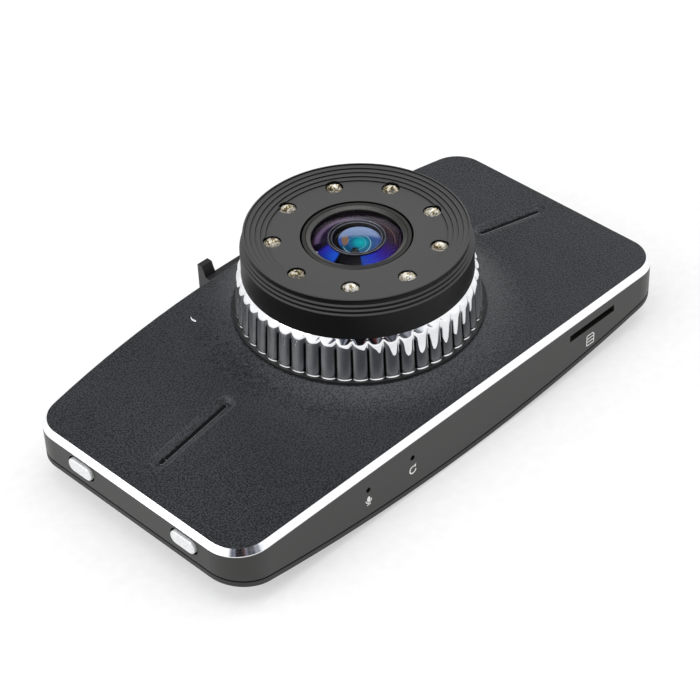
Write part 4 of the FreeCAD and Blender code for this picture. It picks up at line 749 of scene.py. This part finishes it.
# %% Spin the bowl, its black ring and the middle element
BOWL = [(8.2, 26.9), (7.7, 26.75), (7.0, 26.85), (6.2, 27.15), (5.5, 27.5), (5.0, 27.85), (4.95, 25.5)]
INNER_RING = [(4.95, 27.5), (4.95, 28.0), (4.88, 28.08), (4.72, 28.08), (4.66, 27.98), (4.52, 27.98),
              (4.46, 28.03), (4.36, 28.03), (4.3, 27.9), (4.2, 27.2), (4.95, 27.2)]
ELEMENT = [(4.25, 27.3), (4.0, 27.55), (3.4, 27.8), (2.6, 28.0), (1.7, 28.12), (0.8, 28.18), (0.0, 28.2)]
ring_black = grained("black_anodised_ring", "#060607", "#0c0c0e", 0.3, (0.25, 0.35), 0.001,
                     Specular_IOR_Level=0.12)
finish_piece(turned(BOWL), "coated_bowl", coated_bowl)
finish_piece(turned(INNER_RING, closed=True), "inner_ring", ring_black)
finish_piece(turned(ELEMENT), "coated_element", coated_element)


# %% Turn two beads that paint a glint on the inner ring's edges
EDGE = 0.05                   # radius of the bright bead, in millimetres
EDGE_RINGS = [(4.83, 28.11), (4.3, 27.99)]
BEAD_POINTS = 6
# The beads are coloured light grey so that they show bright from any side: a painted glint.
painted_edge_glint = grained("painted_ring_edge_glint", "#787c86", "#a2a6b0", 0.5, (0.2, 0.3), 0.001, Metallic=0.2)


def bead(radius, z, size):
    """Points round a thin bead."""
    turns = [2 * math.pi * i / BEAD_POINTS for i in range(BEAD_POINTS)]
    return [(radius + size * math.cos(turn), z + size * math.sin(turn)) for turn in turns]


edge_beads = gather([turned(bead(radius, z, EDGE), closed=True) for radius, z in EDGE_RINGS])
finish_piece(edge_beads, "ring_edges", painted_edge_glint)


# %% [markdown]
# ## Knurled ring with plated edges
# On the real ring 48 convex lobes run down the side, with sharp grooves between them, and the plating
# rounds every edge a little.  Solids with crisp edges reflect like cut paper, so the ring is spun again
# as a fine smooth mesh, and each point is then pressed in to the lobes' outline with a soft corner.  The
# side leans in a little, as moulded pieces do, which is why its upper part mirrors the bright table.

# %% Spin the ring and press its lobes
LOBES = 48
POINTS_PER_LOBE = 14
LOBE_HALF = 0.31              # half a lobe, as a share of the way to the next one
LOBE_CROWN = 0.14             # how far a lobe falls from its middle to its flank, in millimetres
GROOVE_DEPTH = 0.52
RING_WIDTH = 1.49             # from the bore to the lobes
FOOT_ROUND = 0.3
FOOT_FLARE = 0.08
PLATE_ROUND = 0.03
SHOULDER_ROUND = 0.2
SHOULDER_SPACE = 0.9          # finer rows start this far under the slope's foot
FOOT_ROWS, SIDE_ROWS, TOP_ROWS = 4, 6, 24
BLANK_OUTSIDE = 1             # how far the spun blank stands outside the lobes before pressing
ring_low, ring_high = (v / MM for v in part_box("knurled_ring"))
ring_radius = ring_high.x
ring_bore = ring_radius - RING_WIDTH


def soft_least(first, second, round_mm):
    """The smaller of two sizes, with the corner between them rounded."""
    least = min(first, second)
    return least - round_mm * math.log(sum(math.exp((least - v) / round_mm) for v in (first, second)))


def lobe_radius(turn):
    """The ring's radius at a turn about its axis: rounded lobes with slanting flanks."""
    share = abs((turn * LOBES / (2 * math.pi) + 0.5) % 1.0 - 0.5)
    crown = ring_radius - LOBE_CROWN * (share / LOBE_HALF) ** 2
    flank = (0.5 - share) / (0.5 - LOBE_HALF)
    groove = ring_radius - GROOVE_DEPTH + flank * (GROOVE_DEPTH - LOBE_CROWN)
    return soft_least(crown, groove, PLATE_ROUND)


def heights(low, high, rows):
    """Rows evenly spread above low, up to high."""
    return [low + (high - low) * i / rows for i in range(1, rows + 1)]


def knurled_chrome():
    open_radius = ring_radius + BLANK_OUTSIDE
    shoulder = ring_high.z - RING_WIDTH - SHOULDER_SPACE
    foot = ring_low.z + FOOT_ROUND
    rows = [ring_low.z] + heights(ring_low.z, foot, FOOT_ROWS)
    rows += heights(foot, shoulder, SIDE_ROWS) + heights(shoulder, ring_high.z, TOP_ROWS)
    profile = [(ring_bore, ring_low.z)]
    profile += [(min(open_radius, ring_bore + ring_high.z - z), z) for z in rows]
    shape = turned(profile, steps=LOBES * POINTS_PER_LOBE, closed=True)
    for vert in shape.verts:
        place = vert.co / MM
        radius = math.hypot(place.x, place.y)
        if radius > ring_bore + TOUCHING:
            rise = place.z - ring_low.z
            near_foot = max(0.0, 1.0 - rise / FOOT_ROUND)
            lean = FOOT_FLARE * (1.0 - near_foot ** 2) + RING_DRAFT * rise
            pressed = soft_least(lobe_radius(math.atan2(place.y, place.x)) - lean, radius, SHOULDER_ROUND)
            vert.co = Vector((place.x * pressed / radius, place.y * pressed / radius, place.z)) * MM
    return shape


finish_piece(knurled_chrome(), "chrome_ring", chrome, sharp=50, replaces=["knurled_ring"])


# %% [markdown]
# ## Painted glint along the slots
# Each slot shows a hair-line glint along its near edge, and it is painted: a thin bead with the bright
# cut-metal finish lies in the slot.  The slot's place, length and turn are read back from the strip
# under it.  A thin ring is spun, its halves are pulled apart to the slot's length, and its far half is
# sunk out of sight, so that one bright line is left.

# %% Pull a thin ring out to each slot
SLOT_WIDTH = 0.8
STRIP_WIDTH = 3.4
POCKET_DEPTH = 0.75
GLINT, GLINT_STEPS = 0.07, 32
FAR_SIDE_SLOPE = 1.4          # how steeply the far half sinks


def slot_glint(strip, lean):
    """A bead round one slot; lean is 1 or -1 for the way the slot slopes."""
    low, high = (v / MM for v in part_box(strip))
    spread_x, spread_y = high.x - low.x - STRIP_WIDTH, high.y - low.y - STRIP_WIDTH
    half = math.hypot(spread_x, spread_y) / 2
    shape = turned(bead(SLOT_WIDTH / 2, 0.0, GLINT), steps=GLINT_STEPS, closed=True)
    for vert in shape.verts:
        vert.co.z -= max(0.0, vert.co.y) * FAR_SIDE_SLOPE
        vert.co.x += math.copysign(half * MM, vert.co.x)
    bmesh.ops.rotate(shape, verts=shape.verts, cent=(0, 0, 0),
                     matrix=Matrix.Rotation(math.atan2(lean * spread_y, spread_x), 3, "Z"))
    pocket_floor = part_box("bezel_trim")[1].z / MM - POCKET_DEPTH
    middle = Vector(((low.x + high.x) / 2, (low.y + high.y) / 2, pocket_floor))
    bmesh.ops.translate(shape, verts=shape.verts, vec=middle * MM)
    return shape


# A bead with the bright cut-metal finish, laid in as a painted glint along each slot.
finish_piece(gather([slot_glint("left_slot_insert", 1), slot_glint("right_slot_insert", -1)]),
             "slot_glints", cut_aluminium)


# %% [markdown]
# ## Inside the lamps
# Under each epoxy dome sits a stamped cup of silvered copper with a tiny chip in it and a post that
# holds the bond wire.  The dome magnifies the cup, so its dents and gold edges fill the whole lamp.
# Nine separate pieces would be tedious, so one loop makes each cup at its own place and turn.

# %% Silvered cup finish
DENTS, TARNISH = 1500.0, 75.0  # fine dents and slow tarnish, in waves to the metre


def silvered_cup():
    material, tree, shader = new_material("silvered_copper", Metallic=0.8, Roughness=0.25)
    place = add(tree, "TexCoord").outputs["Object"]
    dents = noise(tree, DENTS, 3.0, place, Roughness=0.7)
    tarnish = noise(tree, TARNISH, 1.0, place)
    shift = add(tree, "Math", {1: 0.5, 2: -0.25}, {0: tarnish}, operation="MULTIPLY_ADD").outputs[0]
    level = add(tree, "Math", {}, {0: dents, 1: shift}, operation="ADD").outputs[0]
    colour = add(tree, "ValToRGB", {}, {"Fac": level}, [
        (0.36, "#1c160c"), (0.44, "#8a7444"), (0.5, "#cbbf9c"), (0.55, "#f2efe6"), (0.7, "#ffffff")])
    gloss = add(tree, "MapRange", {"To Min": 0.15, "To Max": 0.4}, {"Value": dents})
    bump = add(tree, "Bump", {"Distance": 0.14 * MM, "Strength": 0.9}, {"Height": dents})
    feed(tree, shader, Base_Color=colour.outputs["Color"], Roughness=gloss.outputs["Result"],
         Normal=bump.outputs["Normal"])
    return material


cup_silver = silvered_cup()
print(cup_silver.name)


# %% Stamp the nine cups
LAMP_CIRCLE = 14.31
LAMP_COUNT = 9
lamp_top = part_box("infrared_lamps")[1].z / MM
CUP = [(0.0, -1.05), (0.45, -1.05), (1.2, -0.62), (1.4, -0.6), (1.4, -0.9), (0.6, -1.4), (0.0, -1.4)]
CUP_STEPS = 28
CHIP_SIZE, CHIP_Z = 0.36, -0.92
POST_SIZE, POST_PLACE, POST_STRETCH = 0.3, (0.8, 0, -0.52), (1.0, 1.6, 1.0)
CUP_TURN = 2.3                # each cup is turned on, so that no two look alike


def lamp_cups():
    cups = []
    for i in range(LAMP_COUNT):
        turn = math.pi + 2 * math.pi * i / LAMP_COUNT
        centre = Vector((LAMP_CIRCLE * math.cos(turn), LAMP_CIRCLE * math.sin(turn), lamp_top)) * MM
        cup = turned(CUP, steps=CUP_STEPS)
        chip = bmesh.ops.create_cube(cup, size=CHIP_SIZE * MM)["verts"]
        bmesh.ops.translate(cup, verts=chip, vec=(0, 0, CHIP_Z * MM))
        post = bmesh.ops.create_cube(cup, size=POST_SIZE * MM)["verts"]
        bmesh.ops.scale(cup, verts=post, vec=POST_STRETCH)
        bmesh.ops.translate(cup, verts=post, vec=Vector(POST_PLACE) * MM)
        bmesh.ops.rotate(cup, verts=cup.verts, matrix=Matrix.Rotation(turn * CUP_TURN, 3, "Z"))
        bmesh.ops.translate(cup, verts=cup.verts, vec=centre)
        cups.append(cup)
    return gather(cups)


finish_piece(lamp_cups(), "lamp_cups", cup_silver)


# %% [markdown]
# ## Printed signs
# White signs are pad-printed beside the holes: a microphone, a round arrow for reset, a memory card
# and a moon for the night lamps.  Each is built from flat bars and ring pieces a few hundredths of a
# millimetre thick, because real ink stands that far above the wall, and text is left out.

# %% Strokes for the signs
INK = 0.02


def put(shape, centre, degrees=0.0):
    """Turns a flat stroke and moves it to its centre."""
    bmesh.ops.rotate(shape, verts=shape.verts, matrix=Matrix.Rotation(math.radians(degrees), 3, "Z"))
    bmesh.ops.translate(shape, verts=shape.verts, vec=(*centre, 0))
    return shape


def bar(length, width, centre=(0, 0), turn=0.0):
    shape = bmesh.new()
    bmesh.ops.create_grid(shape, x_segments=1, y_segments=1, size=0.5)
    bmesh.ops.scale(shape, verts=shape.verts, vec=(length, width, 1))
    return put(shape, centre, turn)


def hoop(radius, width, start, end, centre=(0, 0), steps=24):
    """Part of a flat ring, from start to end in degrees."""
    shape = bmesh.new()
    ends = [shape.verts.new((radius + side * width / 2, 0, 0)) for side in (-1, 1)]
    edge = shape.edges.new(ends)
    bmesh.ops.spin(shape, geom=ends + [edge], cent=(0, 0, 0), axis=(0, 0, 1),
                   angle=math.radians(end - start), steps=steps)
    bmesh.ops.remove_doubles(shape, verts=shape.verts, dist=TOUCHING)
    return put(shape, centre, start)


def blob(radius, centre=(0, 0), corners=28, stretch=1.0, turn=0.0):
    """Filled round or few-cornered patch."""
    shape = bmesh.new()
    bmesh.ops.create_circle(shape, cap_ends=True, segments=corners, radius=radius)
    bmesh.ops.scale(shape, verts=shape.verts, vec=(1, stretch, 1))
    return put(shape, centre, turn)


def crescent(radius, hollow):
    """A round patch whose right half is folded in to a hollow."""
    shape = blob(radius, corners=48)
    for vert in shape.verts:
        if vert.co.x > 0:
            vert.co.x *= -hollow
    return shape


def thicken(shape):
    """Stands flat strokes up to the ink's thickness."""
    made = bmesh.ops.extrude_face_region(shape, geom=shape.faces[:])["geom"]
    lifted = [v for v in made if isinstance(v, bmesh.types.BMVert)]
    bmesh.ops.translate(shape, verts=lifted, vec=(0, 0, INK))
    bmesh.ops.recalc_face_normals(shape, faces=shape.faces)
    return shape


def print_sign(name, strokes, face, place, body="camera"):
    """Prints strokes, drawn flat in millimetres, on a face turned by the matrix face."""
    shape = thicken(gather(strokes))
    shape.transform(Matrix.Scale(MM, 4) @ Matrix.Translation(place) @ face)
    return finish_piece(shape, name, white_print, body)


print("ink stands", INK, "mm above the wall")

# %% Print the signs on the wall and the panel
ON_WALL = Matrix.Rotation(math.radians(90), 4, "X")
ON_PANEL = Matrix.Rotation(math.radians(20), 4, "Z")
wall_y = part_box("middle_frame")[0].y / MM
panel_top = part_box("bezel_trim")[1].z / MM
STROKE = 0.2
microphone = [blob(0.36, (0, 0.35), stretch=1.6), hoop(0.62, STROKE, 180, 360, (0, 0.2)),
              bar(STROKE, 0.35, (0, -0.55)), bar(0.8, STROKE, (0, -0.8))]
round_arrow = [hoop(0.72, 0.24, 60, 350), blob(0.42, (0.5, 0.66), corners=3, turn=200)]
CARD_W, CARD_H, CUT = 1.9, 2.2, 0.4
memory_card = [bar(CARD_W, STROKE, (0, y)) for y in (-CARD_H / 2, -CARD_H / 6, CARD_H / 6)]
memory_card += [bar(STROKE, CARD_H, (-CARD_W / 2, 0)), bar(STROKE, CARD_H - CUT, (CARD_W / 2, -CUT / 2))]
memory_card += [bar(CARD_W - CUT, STROKE, (-CUT / 2, CARD_H / 2))]
memory_card += [bar(0.62, STROKE, (CARD_W / 2 - CUT / 2, CARD_H / 2 - CUT / 2), -45)]
print_sign("microphone_sign", microphone, ON_WALL, (-28.4, wall_y, 5.75))
print_sign("reset_sign", round_arrow, ON_WALL, (-18.0, wall_y, 5.45))
print_sign("card_sign", memory_card, ON_WALL, (27.3, wall_y, 5.55))
print_sign("moon_sign", [crescent(1.35, 0.68)], ON_PANEL, (-20.3, 19.1, panel_top))

# %% [markdown]
# ## Signs on the rear keys
# The four keys beside the screen carry a sign each: bars for the menu, arrows for up and down and a
# dot for recording.  The rear is curved, so each flat sign is tilted to its key and moves with it.

# %% Print the key signs
KEY_SIGNS = {
    "menu": lambda: [bar(1.6, 0.25, (0, y)) for y in (-0.55, 0, 0.55)],
    "up": lambda: [blob(0.9, corners=3, turn=90)],
    "record": lambda: [blob(0.7)],
    "down": lambda: [blob(0.9, corners=3, turn=-90)],
}
PROBE, PROBE_REACH = 2.0, 0.8  # where a key's face is measured, either side of its middle


def key_face(name):
    """Middle and tilt of a key's outer face, from its own mesh."""
    low, high = (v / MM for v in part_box(name + "_key_plunger"))
    x, y = (low.x + high.x) / 2, (low.y + high.y) / 2
    points = [v.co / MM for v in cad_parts[name + "_key"].data.vertices]
    outer = [min(p.z for p in points if abs(p.x - x - side) < PROBE_REACH) for side in (-PROBE, PROBE)]
    return (x, y, sum(outer) / 2), math.atan2(outer[0] - outer[1], 2 * PROBE)


for name, strokes in KEY_SIGNS.items():
    (x, y, z), tilt = key_face(name)
    print("key", name, "face at", round(z, 2), "mm, tilt", round(math.degrees(tilt), 1))
    face = Matrix.Rotation(math.pi, 4, "X") @ Matrix.Rotation(-tilt, 4, "Y")
    print_sign(name + "_sign", strokes(), face, (x, y, z), name + "_key")
